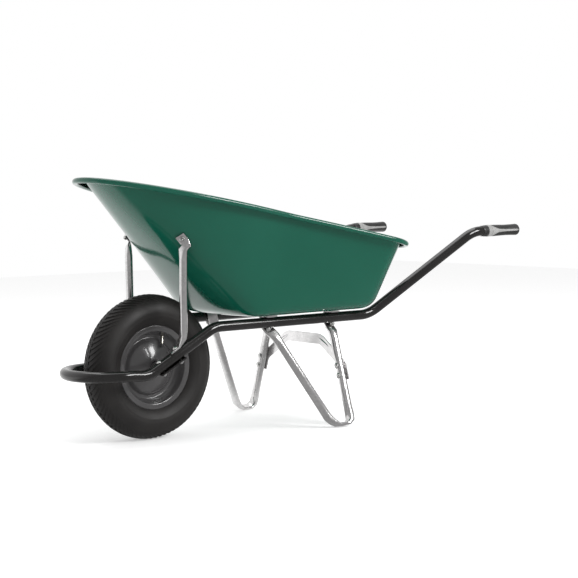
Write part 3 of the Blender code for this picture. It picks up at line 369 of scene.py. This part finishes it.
def outline(shape):
    """A closed loop from the middle of the nose, round the right side and back on the left."""
    half = []
    for i in range(NOSE_STEPS):
        turn = math.pi / 2 * (i / NOSE_STEPS) ** shape["ease"]
        half.append((shape["nose"] + shape["length"] * (1 - math.cos(turn) ** (2 / shape["power"])),
                     shape["front"] * math.sin(turn) ** (2 / shape["power"])))
    start, end = shape["nose"] + shape["length"], shape["end"] - shape["corner"]
    for i in range(SIDE_STEPS):
        share = i / SIDE_STEPS
        half.append((lerp(start, end, share), lerp(shape["front"], shape["rear"], share)))
    for i in range(CORNER_STEPS + 1):
        turn = math.pi / 2 * i / CORNER_STEPS
        half.append((end + shape["corner"] * math.sin(turn),
                     shape["rear"] + shape["corner"] * (math.cos(turn) - 1)))
    for share in REAR_SHARES:
        half.append((shape["end"], (shape["rear"] - shape["corner"]) * (1 - share)))
    return half + [(x, -y) for x, y in reversed(half[1:-1])]


BEAD_FROM_X, BEAD_RUN = 250 * MM, 480 * MM
BEAD_TOP, BEAD_FALL, BEAD_SAG = 634.5 * MM, 97.8 * MM, 7.5 * MM
LIP_AT_NOSE, LIP_AT_SIDE = 36 * MM, 27 * MM


def inward(loop, i, amount):
    """Point i of a loop moved towards the inside of the tray."""
    (x, y), before, after = loop[i], loop[i - 1], loop[(i + 1) % len(loop)]
    way = Vector((after[0] - before[0], after[1] - before[1])).normalized()
    return x + way.y * amount, y - way.x * amount


def bead_height(x):
    """Top of the bead: it falls towards the rear, and bends a little."""
    run = (x - BEAD_FROM_X) / BEAD_RUN
    return BEAD_TOP - BEAD_FALL * run - BEAD_SAG * run * run


def lip_width(x):
    """From the top of the wall out to the middle of the bead: wider round the nose."""
    share = min(1, max(0, (x - EDGE["nose"]) / EDGE["length"]))
    return lerp(LIP_AT_NOSE, LIP_AT_SIDE, share) - BEAD_RADIUS


bead_loop, floor_loop = outline(EDGE), outline(FLOOR)
print("points round the tray:", len(bead_loop))

# %% [markdown]
# ## The tray's rings
# Each ring is one level of the sheet, from the floor up. The floor turns into the wall on
# a curve, and the wall turns outward into the lip, whose edge is rolled under into a bead.
# A press leaves a faint step across the nose, where a second blow stretches the sheet.
# %% Work out the rings of the tray
WALL_TOP_DROP = 9 * MM
FILLET_SHARES = (0, 0.2, 0.4, 0.6, 0.8, 1)
STEP_DEPTH, STEP_DROP = 1.4 * MM, 20 * MM
STEP_MIDDLE_Z, STEP_CORNER_Z = 540 * MM, 494 * MM
STEP_FADE_START, STEP_FADE_LENGTH = 0.6, 0.35
BELOW_STEP, ABOVE_STEP = (0.5, 0.985), (1.0, 1.5, 2.0)
LIP_FILLET = ((1, -2 * MM, -4.6 * MM), (1, -3.6 * MM, -2.6 * MM), (1, -5.5 * MM, -1.6 * MM),
              (0, BEAD_RADIUS + 4 * MM, -0.6 * MM))
BEAD_ANGLES = (*range(90, -135, -28), -160)


def nose_share(i):
    """0 at the middle of the nose, 1 where the nose meets the side, and beyond it."""
    count = len(bead_loop)
    return min(i, count - i) / NOSE_STEPS


def floor_rings(corners, raised):
    """The floor's edge, curved up between its flat inside and the foot of the wall."""
    rings = []
    for share in FILLET_SHARES:
        ring = []
        for i, (corner, foot) in enumerate(zip(corners, raised)):
            flat = Vector((*inward(floor_loop, i, FLOOR_FILLET), FLOOR_MIDDLE_Z))
            ring.append(flat.lerp(corner, share).lerp(corner.lerp(foot, share), share))
        rings.append(ring)
    return rings


def wall_rings(corners, raised, tops):
    """The straight wall, which is pushed in below the step on the nose."""
    rings = []
    for part in (*BELOW_STEP, *ABOVE_STEP):
        ring = []
        for i, (corner, foot, top) in enumerate(zip(corners, raised, tops)):
            step_z = lerp(STEP_MIDDLE_Z, STEP_CORNER_Z, min(1, nose_share(i)))
            crease = (step_z - foot.z) / (top.z - foot.z)
            share = crease * part if part <= 1 else lerp(crease, 1, part - 1)
            spot = foot.lerp(top, share)
            if part in BELOW_STEP:
                fade = max(0, 1 - max(0, nose_share(i) - STEP_FADE_START) / STEP_FADE_LENGTH)
                push = Vector((corner.x - foot.x, corner.y - foot.y, -STEP_DROP)).normalized()
                spot += push * STEP_DEPTH * fade * part
            ring.append(spot)
        rings.append(ring)
    return rings


def lip_rings():
    """The lip and its bead: each level is a share of the lip's width, an inset and a lift."""
    levels = list(LIP_FILLET)
    for angle in BEAD_ANGLES:
        turn = math.radians(angle)
        levels.append((0, -BEAD_RADIUS * math.cos(turn), BEAD_RADIUS * (math.sin(turn) - 1)))
    rings = []
    for at_wall, inset, lift in levels:
        ring = []
        for i, (x, _) in enumerate(bead_loop):
            spot = inward(bead_loop, i, at_wall * lip_width(x) + inset)
            ring.append(Vector((*spot, bead_height(x) - TRAY_SHEET / 2 + lift)))
        rings.append(ring)
    return rings


def tray_rings():
    """Places of the sheet's middle from the floor to the rolled edge, one list a ring."""
    corners = [Vector((*spot, FLOOR_MIDDLE_Z)) for spot in floor_loop]
    tops = [Vector((*inward(bead_loop, i, lip_width(x)), bead_height(x) - WALL_TOP_DROP))
            for i, (x, _) in enumerate(bead_loop)]
    raised = [corner + (top - corner).normalized() * FLOOR_FILLET for corner, top in zip(corners, tops)]
    rings = floor_rings(corners, raised) + wall_rings(corners, raised, tops) + lip_rings()
    return [[spot + Vector((AXLE.x, 0, 0)) for spot in ring] for ring in rings]


rings = tray_rings()
print("rings:", len(rings), "with", len(rings[0]), "places each")

# %% Extrude the tray through its rings and give it its sheet
FLOOR_INSET = 30 * MM


def grow(rings):
    """Extrudes a floor loop through rings of places, then closes the floor."""
    bm = bmesh.new()
    number = bm.verts.layers.int.new("number")
    loop = [bm.verts.new(spot) for spot in rings[0]]
    for i, vertex in enumerate(loop):
        vertex[number] = i
    edges = [bm.edges.new((loop[i - 1], loop[i])) for i in range(len(loop))]
    for ring in rings[1:]:
        grown = bmesh.ops.extrude_edge_only(bm, edges=edges)["geom"]
        edges = [item for item in grown if isinstance(item, bmesh.types.BMEdge)]
        for item in grown:
            if isinstance(item, bmesh.types.BMVert):
                item.co = ring[item[number]]
    floor = bm.faces.new(loop)
    bmesh.ops.inset_region(bm, faces=[floor], thickness=FLOOR_INSET, depth=0)
    bmesh.ops.recalc_face_normals(bm, faces=bm.faces)
    return bm


tray = hand_over("tray_pressed", grow(rings), "tray", sharp=60)
sheet_wall(tray, TRAY_SHEET)
smooth = tray.modifiers.new("smooth", "SUBSURF")
smooth.levels = smooth.render_levels = 1
print("tray faces before its sheet:", len(tray.data.polygons))

# %% [markdown]
# ## The frame tube
# One length of tube is bent cold round formers, so each corner is an arc of the same
# radius. A curve with a round bevel follows the corners, and is then made a mesh.
# %% Bend the frame tube
TUBE_RADIUS, BEND_RADIUS = 15 * MM, 85 * MM
LOOP_CENTRE, LOOP_HALF_WIDTH, LOOP_HEIGHT = -134, 113.4, 196
TUBE_RESOLUTION, BEND_STEPS, LOOP_STEPS, END_INSET = 8, 8, 32, 6 * MM
FRAME_CORNERS = ((1198, 295.9, 554.4), (1005, 285.4, 552), (698, 146.5, 310), (124.6, 137, 310),
                 (-82, 117, 191.5), (LOOP_CENTRE, LOOP_HALF_WIDTH, LOOP_HEIGHT))


def frame_corners(side):
    return [from_axle(x, side * y, z) for x, y, z in FRAME_CORNERS]


def bent(corners, radius):
    """A line through corners, each inner one rounded to an arc."""
    points = [corners[0]]
    for before, corner, after in zip(corners, corners[1:], corners[2:]):
        arrive, leave = (corner - before).normalized(), (after - corner).normalized()
        turn = arrive.angle(leave)
        centre = corner + (leave - arrive).normalized() * (radius / math.cos(turn / 2))
        start = corner - arrive * radius * math.tan(turn / 2) - centre
        axis = arrive.cross(leave).normalized()
        points += [centre + Matrix.Rotation(turn * step / BEND_STEPS, 3, axis) @ start
                   for step in range(BEND_STEPS + 1)]
    return points + [corners[-1]]


def swept(points, radius):
    """A round bar along points, as a mesh with closed ends."""
    curve = bpy.data.curves.new("sweep", "CURVE")
    curve.dimensions = "3D"
    curve.bevel_depth, curve.bevel_resolution = radius, TUBE_RESOLUTION
    curve.use_fill_caps = True
    line = curve.splines.new("POLY")
    line.points.add(len(points) - 1)
    for target, point in zip(line.points, points):
        target.co = (*point, 1)
    guide = bpy.data.objects.new("sweep", curve)
    scene.collection.objects.link(guide)
    graph = bpy.context.evaluated_depsgraph_get()
    mesh = bpy.data.meshes.new_from_object(guide.evaluated_get(graph))
    bpy.data.objects.remove(guide)
    bm = bmesh.new()
    bm.from_mesh(mesh)
    bmesh.ops.remove_doubles(bm, verts=bm.verts, dist=MERGE_DISTANCE)
    bmesh.ops.recalc_face_normals(bm, faces=bm.faces)
    return bm


halves = []
for side in (-1, 1):
    corners = frame_corners(side)
    corners[0] = corners[0] + (corners[1] - corners[0]).normalized() * END_INSET
    halves.append(bent(corners, BEND_RADIUS))
loop = [from_axle(LOOP_CENTRE - LOOP_HALF_WIDTH * math.sin(math.pi * step / LOOP_STEPS),
                  -LOOP_HALF_WIDTH * math.cos(math.pi * step / LOOP_STEPS), LOOP_HEIGHT)
        for step in range(1, LOOP_STEPS)]
frame_line = halves[0] + loop + halves[1][::-1]
hand_over("frame_bent_tube", swept(frame_line, TUBE_RADIUS), "frame_tube")
frame_length = sum((a - b).length for a, b in zip(frame_line, frame_line[1:]))
print("frame tube:", round(frame_length, 2), "m long")

# %% [markdown]
# ## The tyre
# A pneumatic tyre is a horseshoe of rubber turned about the axle. Its casing is spun from
# one profile, an oval that is flattened at the crown to leave room for the tread, with a
# fine ridge on each side.
# %% Spin the tyre's casing
WHEEL_RADIUS, SECTION_HEIGHT, SECTION_HALF = 200 * MM, 48 * MM, 48.6 * MM
SECTION_MIDDLE = WHEEL_RADIUS - SECTION_HEIGHT
TREAD_DEPTH, TYRE_WALL = 2.6 * MM, 6 * MM
RIDGE_HEIGHT, RIDGE_ANGLE, RIDGE_SPREAD = 0.9 * MM, 103, 2.5
BEAD_SEAT, BEAD_TALL, BEAD_CORNER = 102.5 * MM, 14.5 * MM, 2 * MM
BEAD_OUT, BEAD_IN = 30.3 * MM, 21.3 * MM
OUTSIDE_ANGLES, INSIDE_ANGLES = range(138, -139, -3), range(-126, 127, 9)
WHEEL_STEPS = 96


def casing(angle, lift=0.0):
    """(radius, along) of the casing at an angle round its section, 0 at the crown."""
    turn = math.radians(angle)
    crown = max(0.0, math.cos(turn))
    ridge = RIDGE_HEIGHT * math.exp(-((abs(angle) - RIDGE_ANGLE) / RIDGE_SPREAD) ** 2)
    depth = lift - TREAD_DEPTH * crown + ridge
    return (SECTION_MIDDLE + (SECTION_HEIGHT + depth) * math.cos(turn),
            (SECTION_HALF + depth) * math.sin(turn))


outer = [casing(angle) for angle in OUTSIDE_ANGLES]
inner = [casing(angle, -TYRE_WALL) for angle in INSIDE_ANGLES]
left_bead = [(BEAD_SEAT + BEAD_TALL, -BEAD_OUT), (BEAD_SEAT + BEAD_CORNER, -BEAD_OUT),
             (BEAD_SEAT, -BEAD_OUT + BEAD_CORNER), (BEAD_SEAT, -BEAD_IN)]
right_bead = [(radius, -along) for radius, along in left_bead[::-1]]
section = outer + left_bead + inner + right_bead
tyre = hand_over("tyre_casing", spun(section, wheel_place(), WHEEL_STEPS, closed=True), "tyre", sharp=50)
print("casing faces:", len(tyre.data.polygons))

# %% [markdown]
# ## The tread
# The tread is a row of bars that sweep back from a centre rib to each shoulder. One low
# bar is cut from a cube, and a copy of it is bent round the casing for each place. The
# rib is a narrow band, spun like the casing.
# %% Bend the tread's bars round the casing
BARS_ROUND, BAR_CUTS = 76, 4
BAR_WIDTH, BAR_OUTER, BAR_INNER, BAR_SWEEP = 10.5 * MM, 52, 5, math.radians(12)
BAR_TOP_WIDTH, BAR_NARROWING, SWEEP_POWER = 0.72, 0.25, 1.5
BAR_FADE_END, BAR_FADE = 1.05, 3
BAR_ROOT, BAR_STAND, BAR_PROUD = -1.5 * MM, 0.94, 0.4 * MM


def on_tread(turn, angle, lift):
    """A place over the casing: turned round the axle, at an angle round the section."""
    radius, along = casing(angle, lift)
    return AXLE + Matrix.Rotation(turn, 3, "Y") @ Vector((0, along, radius))


def bar_template():
    """A cube cut along its length, its top narrower: 0 to 1 along X, -0.5 to 0.5 across."""
    bm = bmesh.new()
    bmesh.ops.create_cube(bm, size=1.0)
    bmesh.ops.translate(bm, vec=(0.5, 0, 0.5), verts=bm.verts)
    lengthwise = [edge for edge in bm.edges if abs(edge.verts[0].co.x - edge.verts[1].co.x) > 0.5]
    bmesh.ops.subdivide_edges(bm, edges=lengthwise, cuts=BAR_CUTS, use_grid_fill=True)
    for vertex in bm.verts:
        if vertex.co.z > 0.5:
            vertex.co.y *= BAR_TOP_WIDTH
    mesh = bpy.data.meshes.new("bar")
    bm.to_mesh(mesh)
    bm.free()
    return mesh


def bent_bar(spot, turn, side):
    """Where a place on the straight bar comes to lie on the tyre."""
    share, across, height = spot
    angle = lerp(BAR_INNER, BAR_OUTER, share)
    sweep = BAR_SWEEP * share ** SWEEP_POWER
    lean = across * BAR_WIDTH * (1 - BAR_NARROWING * share) / WHEEL_RADIUS
    fade = min(1, (BAR_FADE_END - share) * BAR_FADE)
    top = TREAD_DEPTH * BAR_STAND * math.cos(math.radians(angle)) * fade + BAR_PROUD
    return on_tread(turn + sweep + lean, side * angle, lerp(BAR_ROOT, top, height))


bar = bar_template()
tread = bmesh.new()
for side in (-1, 1):
    for number in range(BARS_ROUND):
        turn = 2 * math.pi * (number + (0.5 if side > 0 else 0)) / BARS_ROUND
        first = len(tread.verts)
        tread.from_mesh(bar)
        tread.verts.ensure_lookup_table()
        for vertex in tread.verts[first:]:
            vertex.co = bent_bar(vertex.co, turn, side)
bmesh.ops.recalc_face_normals(tread, faces=tread.faces)
hand_over("tyre_tread", tread, "tyre", sharp=30)
print("tread bars:", 2 * BARS_ROUND)

# %% Spin the centre rib of the tread
RIB_FOOT_ANGLE, RIB_TOP_ANGLE = 4, 3
RIB_ROOT, RIB_TOP = -1 * MM, TREAD_DEPTH * 0.97
rib = [casing(RIB_FOOT_ANGLE, RIB_ROOT), casing(RIB_TOP_ANGLE, RIB_TOP),
       casing(-RIB_TOP_ANGLE, RIB_TOP), casing(-RIB_FOOT_ANGLE, RIB_ROOT)]
hand_over("tyre_centre_rib", spun(rib, wheel_place(), WHEEL_STEPS, closed=True), "tyre", sharp=30)
print("centre rib:", round(2 * casing(RIB_TOP_ANGLE)[1] / MM, 1), "mm wide")

# %% [markdown]
# ## The wheel
# The wheel is two pressed discs back to back. From the flange each sheet runs down to the
# tyre's seat, into the well, and then out again as a shallow dish to the hub. Both halves
# are one profile, spun and given a sheet's thickness.
# %% Spin the two rim halves
RIM_SHEET, RIM_EDGE = 1.8 * MM, 0.5 * MM
RIM_PROFILE = ((115.4, 29.2), (115.6, 31.2), (114.2, 32.6), (111.5, 32.2), (108.5, 31.6), (102.6, 31.4),
               (100.9, 30.4), (100.2, 28.0), (98.2, 15.0), (97.2, 11.4), (94.6, 8.0), (89.6, 2.4),
               (87.4, 1.25), (82.4, 1.1), (80.2, 1.3), (78.4, 2.4), (76.4, 4.2), (72.6, 9.4),
               (69.4, 12.6), (66.4, 14.6))
DISH_START, DISH_END, DISH_STEPS, DISH_BULGE = RIM_PROFILE[-1], (18.3, 34.0), 9, 1.5
dish = []
for step in range(1, DISH_STEPS + 1):
    share = step / DISH_STEPS
    crown = DISH_BULGE * 4 * share * (1 - share)
    radius, along = (lerp(a, b, share) for a, b in zip(DISH_START, DISH_END))
    dish.append((radius, along + crown))
for name, side in (("left", -1), ("right", 1)):
    profile = [(radius * MM, along * MM) for radius, along in (*RIM_PROFILE, *dish)]
    pressed = spun(profile, wheel_place(side), WHEEL_STEPS)
    half = hand_over(f"rim_{name}_pressed", pressed, f"rim_{name}", sharp=60)
    sheet_wall(half, RIM_SHEET)
    rounded_edges(half, RIM_EDGE)
print("rim profile points:", len(RIM_PROFILE) + len(dish))

# %% [markdown]
# ## The grips
# A grip is moulded over the tube's end in two rubbers. The dark body is turned from one
# profile, closed by a rounded end. The soft grey one is a ring behind the collar, with a
# tongue on each side that narrows to a long stripe. A flat grid is bent round the body
# for each tongue.
# %% Name the grip's sizes and shape its tongue
GRIP_LENGTH, COLLAR_LENGTH, RING_LENGTH = 158 * MM, 34 * MM, 14 * MM
GRIP_RADIUS, GRIP_BORE = 17.5 * MM, 15.3 * MM
RING_TOP = COLLAR_LENGTH - GRIP_LENGTH
RING_LOW = RING_TOP - RING_LENGTH
WAIST_DEPTH, WAIST_STRETCH = 1.1 * MM, 1.15
STRIPE_WIDE, STRIPE_NARROW = 15, 9
FLARE, FLARE_LENGTH, FLARE_POWER = 62, 0.11, 1.2
TIP_FROM, TIP_TAPER, TIP_GAP = 0.94, 12, 11 * MM
TONGUE_LIFT, TONGUE_THICKNESS, RING_OVERLAP = 0.15 * MM, 0.5 * MM, 0.5 * MM


def grip_radius(along):
    """The body swells at both ends and is waisted between."""
    share = min(1, max(0, -along / (GRIP_LENGTH - COLLAR_LENGTH)))
    return GRIP_RADIUS - WAIST_DEPTH * math.sin(math.pi * min(1, share * WAIST_STRETCH)) ** 2


def tongue_half_angle(share):
    """Wide where it leaves the ring, then quickly a stripe that tapers to its tip."""
    flare = FLARE * math.exp(-(share / FLARE_LENGTH) ** FLARE_POWER)
    tip = 1 - max(0, share - TIP_FROM) * TIP_TAPER
    return math.radians(lerp(STRIPE_WIDE, STRIPE_NARROW, share) + flare) * tip


def make_tongue(place, way):
    """A grid bent round the grip: X runs from the ring to the tip, Y goes across."""
    bm = bmesh.new()
    bmesh.ops.create_grid(bm, x_segments=28, y_segments=10, size=0.5)
    for vertex in bm.verts:
        share = vertex.co.x + 0.5
        along = lerp(RING_TOP - RING_OVERLAP, -TIP_GAP, share)
        angle = way + 2 * vertex.co.y * tongue_half_angle(share)
        radius = grip_radius(along) + TONGUE_LIFT
        vertex.co = Vector((radius * math.cos(angle), radius * math.sin(angle), along))
    bmesh.ops.recalc_face_normals(bm, faces=bm.faces)
    bmesh.ops.transform(bm, matrix=place, verts=bm.verts)
    return bm


print("grip:", round(GRIP_LENGTH / MM), "mm long")

# %% Turn the grips and lay on their grey tongues
DOME_HEIGHT, GRIP_STEPS, RING_EDGE = 10 * MM, 64, 0.5 * MM
COLLAR_RADIUS = GRIP_RADIUS - 1.4 * MM


def grip_body_profile():
    """(radius, along) from the middle of the rounded end, over the outside, into the bore."""
    dome = [(grip_radius(0) * math.sin(math.radians(a)), DOME_HEIGHT * (math.cos(math.radians(a)) - 1))
            for a in range(0, 91, 10)]
    body = [(grip_radius(-along * MM), -along * MM) for along in range(14, 124, 6)]
    collar = [(GRIP_RADIUS, RING_TOP), (COLLAR_RADIUS, RING_TOP - RING_OVERLAP),
              (COLLAR_RADIUS, RING_LOW + RING_OVERLAP), (GRIP_RADIUS - 0.2 * MM, RING_LOW),
              (GRIP_RADIUS - 0.4 * MM, RING_LOW - 9 * MM), (COLLAR_RADIUS, RING_LOW - 10 * MM),
              (GRIP_RADIUS - 1.3 * MM, -GRIP_LENGTH + 1 * MM), (GRIP_RADIUS - 2 * MM, -GRIP_LENGTH),
              (GRIP_BORE, -GRIP_LENGTH), (GRIP_BORE, -7 * MM), (0, -6 * MM)]
    return dome + body + collar


def grip_ring_profile():
    """(radius, along) of the grey ring, which swells a little in its middle."""
    return [(GRIP_RADIUS - 1.2 * MM, RING_TOP), (GRIP_RADIUS + 0.4 * MM, RING_TOP),
            (GRIP_RADIUS + 0.7 * MM, (RING_TOP + RING_LOW) / 2), (GRIP_RADIUS + 0.3 * MM, RING_LOW),
            (GRIP_RADIUS - 1.2 * MM, RING_LOW)]


for name, side in (("left", -1), ("right", 1)):
    end, start = frame_corners(side)[:2]
    place = aligned(end, end - start)
    body = spun(grip_body_profile(), place, GRIP_STEPS)
    hand_over(f"grip_{name}_moulded", body, f"grip_{name}", sharp=40)
    collar = spun(grip_ring_profile(), place, GRIP_STEPS, closed=True)
    rounded_edges(hand_over(f"grip_ring_{name}_moulded", collar, f"grip_ring_{name}"), RING_EDGE)
    for label, way in (("near", 0.0), ("far", math.pi)):
        tongue = hand_over(f"grip_tongue_{label}_{name}", make_tongue(place, way), f"grip_ring_{name}")
        sheet_wall(tongue, TONGUE_THICKNESS, side=1)
print("grips made")

# %% [markdown]
# ## Folded tubes, straps and fasteners
# The legs and the tray's supports are tubes pressed flat at their ends, and the packed
# model already holds their folds, their bolt holes and their seats. A copy of each is
# merged, its flat faces are joined, and it takes its own metal; every piece but the
# legs and supports also has its corners eased.
# %% Refine the pieces whose imported shape is right
FLAT_ANGLE, COPY_MERGE = math.radians(0.8), 0.02 * MM
EDGE_WIDTHS = {"leg": 0, "tray_support": 0, "cross_brace": 0.6, "axle_bracket": 0.7, "axle_nut": 0.9,
               "axle_spacer": 0.4, "axle": 0.4, "hub_tube": 0.4, "hub_bearing": 0.5, "tray_bolt": 0.3,
               "tray_nut": 0.7, "bracket_bolt": 0.3, "bracket_nut": 0.7, "brace_bolt": 0.3,
               "brace_nut": 0.7, "support_bolt": 0.3, "support_nut": 0.7, "valve": 0.3}


def refined(node, width):
    """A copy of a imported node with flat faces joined, and its edges eased by width in mm."""
    bm = bmesh.new()
    bm.from_mesh(frame["nodes"][node].data)
    bmesh.ops.remove_doubles(bm, verts=bm.verts, dist=COPY_MERGE)
    bmesh.ops.dissolve_limit(bm, angle_limit=FLAT_ANGLE, verts=bm.verts, edges=bm.edges)
    piece = hand_over(node + "_refined", bm, node, sharp=38)
    if width:
        rounded_edges(piece, width * MM)
    return piece


refined_pieces = []
for node in sorted(frame["nodes"]):
    kinds = [kind for kind in EDGE_WIDTHS if node.startswith(kind)]
    if kinds:
        refined_pieces.append(refined(node, EDGE_WIDTHS[max(kinds, key=len)]))
print("refined:", len(refined_pieces))

# %% [markdown]
# ## Pressed ribs on the cross brace
# The brace is a strip cut to an arch. Two oval ribs pressed into it, one at each shoulder,
# stop it from folding. Half of a flattened sphere stands proud on the front and the back.
# %% Press the ribs into the brace
OVAL_LENGTH, OVAL_HEIGHT, OVAL_PROUD, BRACE_SHEET = 52 * MM, 10 * MM, 1.6 * MM, 3 * MM
OVAL_Y, OVAL_Z, OVAL_SLOPE = 92 * MM, 231 * MM, math.radians(28)
brace_low, brace_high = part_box("cross_brace")
oval_x = (brace_low.x + brace_high.x) / 2
for name, side in (("left", -1), ("right", 1)):
    bm = bmesh.new()
    bmesh.ops.create_uvsphere(bm, u_segments=32, v_segments=16, radius=0.5)
    size = (2 * OVAL_PROUD + BRACE_SHEET, OVAL_LENGTH, OVAL_HEIGHT)
    bmesh.ops.scale(bm, vec=size, verts=bm.verts)
    slope = Matrix.Rotation(-side * OVAL_SLOPE, 3, "X")
    bmesh.ops.rotate(bm, cent=(0, 0, 0), matrix=slope, verts=bm.verts)
    bmesh.ops.translate(bm, vec=(oval_x, side * OVAL_Y, OVAL_Z), verts=bm.verts)
    hand_over(f"brace_rib_{name}", bm, "cross_brace")
print("brace at x", round(brace_low.x, 3))

# %% [markdown]
# ## What stays as packed
# The inner tube is out of sight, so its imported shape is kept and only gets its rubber.
# %% Give every kept node its finish
for node, packed in frame["nodes"].items():
    packed.data.materials.clear()
    packed.data.materials.append(SLOT_FINISH[NODE_SLOT[node]])
print("kept as packed:", [node for node, packed in frame["nodes"].items() if not packed.hide_render])

# %% [markdown]
# ## The floor
# A plain pale floor keeps the eye on the barrow. It matters twice, because the tray's
# walls lean outwards and mirror it, so on the near side gloss sees it as an even grey
# instead of a lit surface.
# %% Lay the floor
FLOOR_SIZE, PAPER_GLOW, GLOSS_GLOW = 14.0, 0.36, 0.36
EVEN_FROM_Y, LIT_FROM_Y = 0.0, 0.3


def studio_paper():
    """Pale paper that glows a little. Gloss sees an even glow instead on the near side."""
    paper = bpy.data.materials.new("pale paper")
    paper.use_nodes = True
    tree = paper.node_tree
    shader, output = tree.nodes["Principled BSDF"], tree.nodes["Material Output"]
    shader.inputs["Base Color"].default_value = (0.9, 0.9, 0.9, 1)
    shader.inputs["Roughness"].default_value = 0.9
    shader.inputs["Emission Color"].default_value = (1, 1, 1, 1)
    shader.inputs["Emission Strength"].default_value = PAPER_GLOW
    place = tree.nodes.new("ShaderNodeTexCoord")
    split = tree.nodes.new("ShaderNodeSeparateXYZ")
    tree.links.new(place.outputs["Object"], split.inputs["Vector"])
    near = map_range(tree, split.outputs["Y"], source=(LIT_FROM_Y, EVEN_FROM_Y))
    near.interpolation_type = "SMOOTHSTEP"
    path = tree.nodes.new("ShaderNodeLightPath")
    share = tree.nodes.new("ShaderNodeMath")
    share.operation = "MULTIPLY"
    tree.links.new(path.outputs["Is Glossy Ray"], share.inputs[0])
    tree.links.new(near.outputs["Result"], share.inputs[1])
    even = tree.nodes.new("ShaderNodeEmission")
    even.inputs["Color"].default_value = (1, 1, 1, 1)
    even.inputs["Strength"].default_value = GLOSS_GLOW
    blend = tree.nodes.new("ShaderNodeMixShader")
    tree.links.new(share.outputs["Value"], blend.inputs["Fac"])
    tree.links.new(shader.outputs["BSDF"], blend.inputs[1])
    tree.links.new(even.outputs["Emission"], blend.inputs[2])
    tree.links.new(blend.outputs["Shader"], output.inputs["Surface"])
    return paper


bm = bmesh.new()
bmesh.ops.create_grid(bm, x_segments=1, y_segments=1, size=FLOOR_SIZE / 2)
floor_mesh = bpy.data.meshes.new("studio_floor")
bm.to_mesh(floor_mesh)
bm.free()
floor_mesh.materials.append(studio_paper())
floor = bpy.data.objects.new("studio_floor", floor_mesh)
scene.collection.objects.link(floor)
print("floor:", FLOOR_SIZE, "m wide")

# %% [markdown]
# ## The studio's walls
# The world stands for the walls of a studio. It is white to the camera and lights the
# barrow evenly. Gloss sees it bright behind the barrow and dimmer on the near side.
# %% Paint the world
ROOM_Y, ROOM_LEVELS = (-0.2, 0.5), (0.34, 1.0)
FILL_LEVEL, BACKDROP_LEVEL = 0.62, 1.0


def studio_world():
    """White to the camera, softer as a light, and dimmer on the near side to gloss."""
    world = bpy.data.worlds.new("studio")
    world.use_nodes = True
    tree = world.node_tree
    sky = tree.nodes["Background"]
    sky.inputs["Color"].default_value = (1, 1, 1, 1)
    place = tree.nodes.new("ShaderNodeTexCoord")
    split = tree.nodes.new("ShaderNodeSeparateXYZ")
    tree.links.new(place.outputs["Generated"], split.inputs["Vector"])
    room = map_range(tree, split.outputs["Y"], source=ROOM_Y, target=ROOM_LEVELS)
    path = tree.nodes.new("ShaderNodeLightPath")
    seen = map_range(tree, path.outputs["Is Camera Ray"], target=(FILL_LEVEL, BACKDROP_LEVEL))
    choose = tree.nodes.new("ShaderNodeMix")
    tree.links.new(path.outputs["Is Glossy Ray"], choose.inputs["Factor"])
    tree.links.new(seen.outputs["Result"], choose.inputs["A"])
    tree.links.new(room.outputs["Result"], choose.inputs["B"])
    tree.links.new(choose.outputs["Result"], sky.inputs["Strength"])
    return world


scene.world = studio_world()
print("world:", scene.world.name)

# %% [markdown]
# ## The lamps
# One wide lamp overhead fills from above. Two tall ones stand side by side like the panes
# of a window, and show as a bright patch in the glossy rim.
# %% Hang the lamps


def soft_light(name, place, target, width, height, power):
    """A rectangular lamp of width by height metres that points at a target."""
    lamp = bpy.data.lights.new(name, "AREA")
    lamp.shape, lamp.size, lamp.size_y, lamp.energy = "RECTANGLE", width, height, power
    light = bpy.data.objects.new(name, lamp)
    scene.collection.objects.link(light)
    light.matrix_world = aligned(Vector(place), Vector(place) - Vector(target))


WINDOW_TARGET = (-0.46, 0, 0.2)
soft_light("overhead", (0.1, 0.3, 3.6), (0, 0, 0.3), width=3.4, height=3.0, power=70)
soft_light("window_left_half", (0.72, -2.95, 1.9), WINDOW_TARGET, width=0.72, height=1.0, power=34)
soft_light("window_right_half", (1.42, -2.55, 1.9), WINDOW_TARGET, width=0.72, height=1.0, power=34)
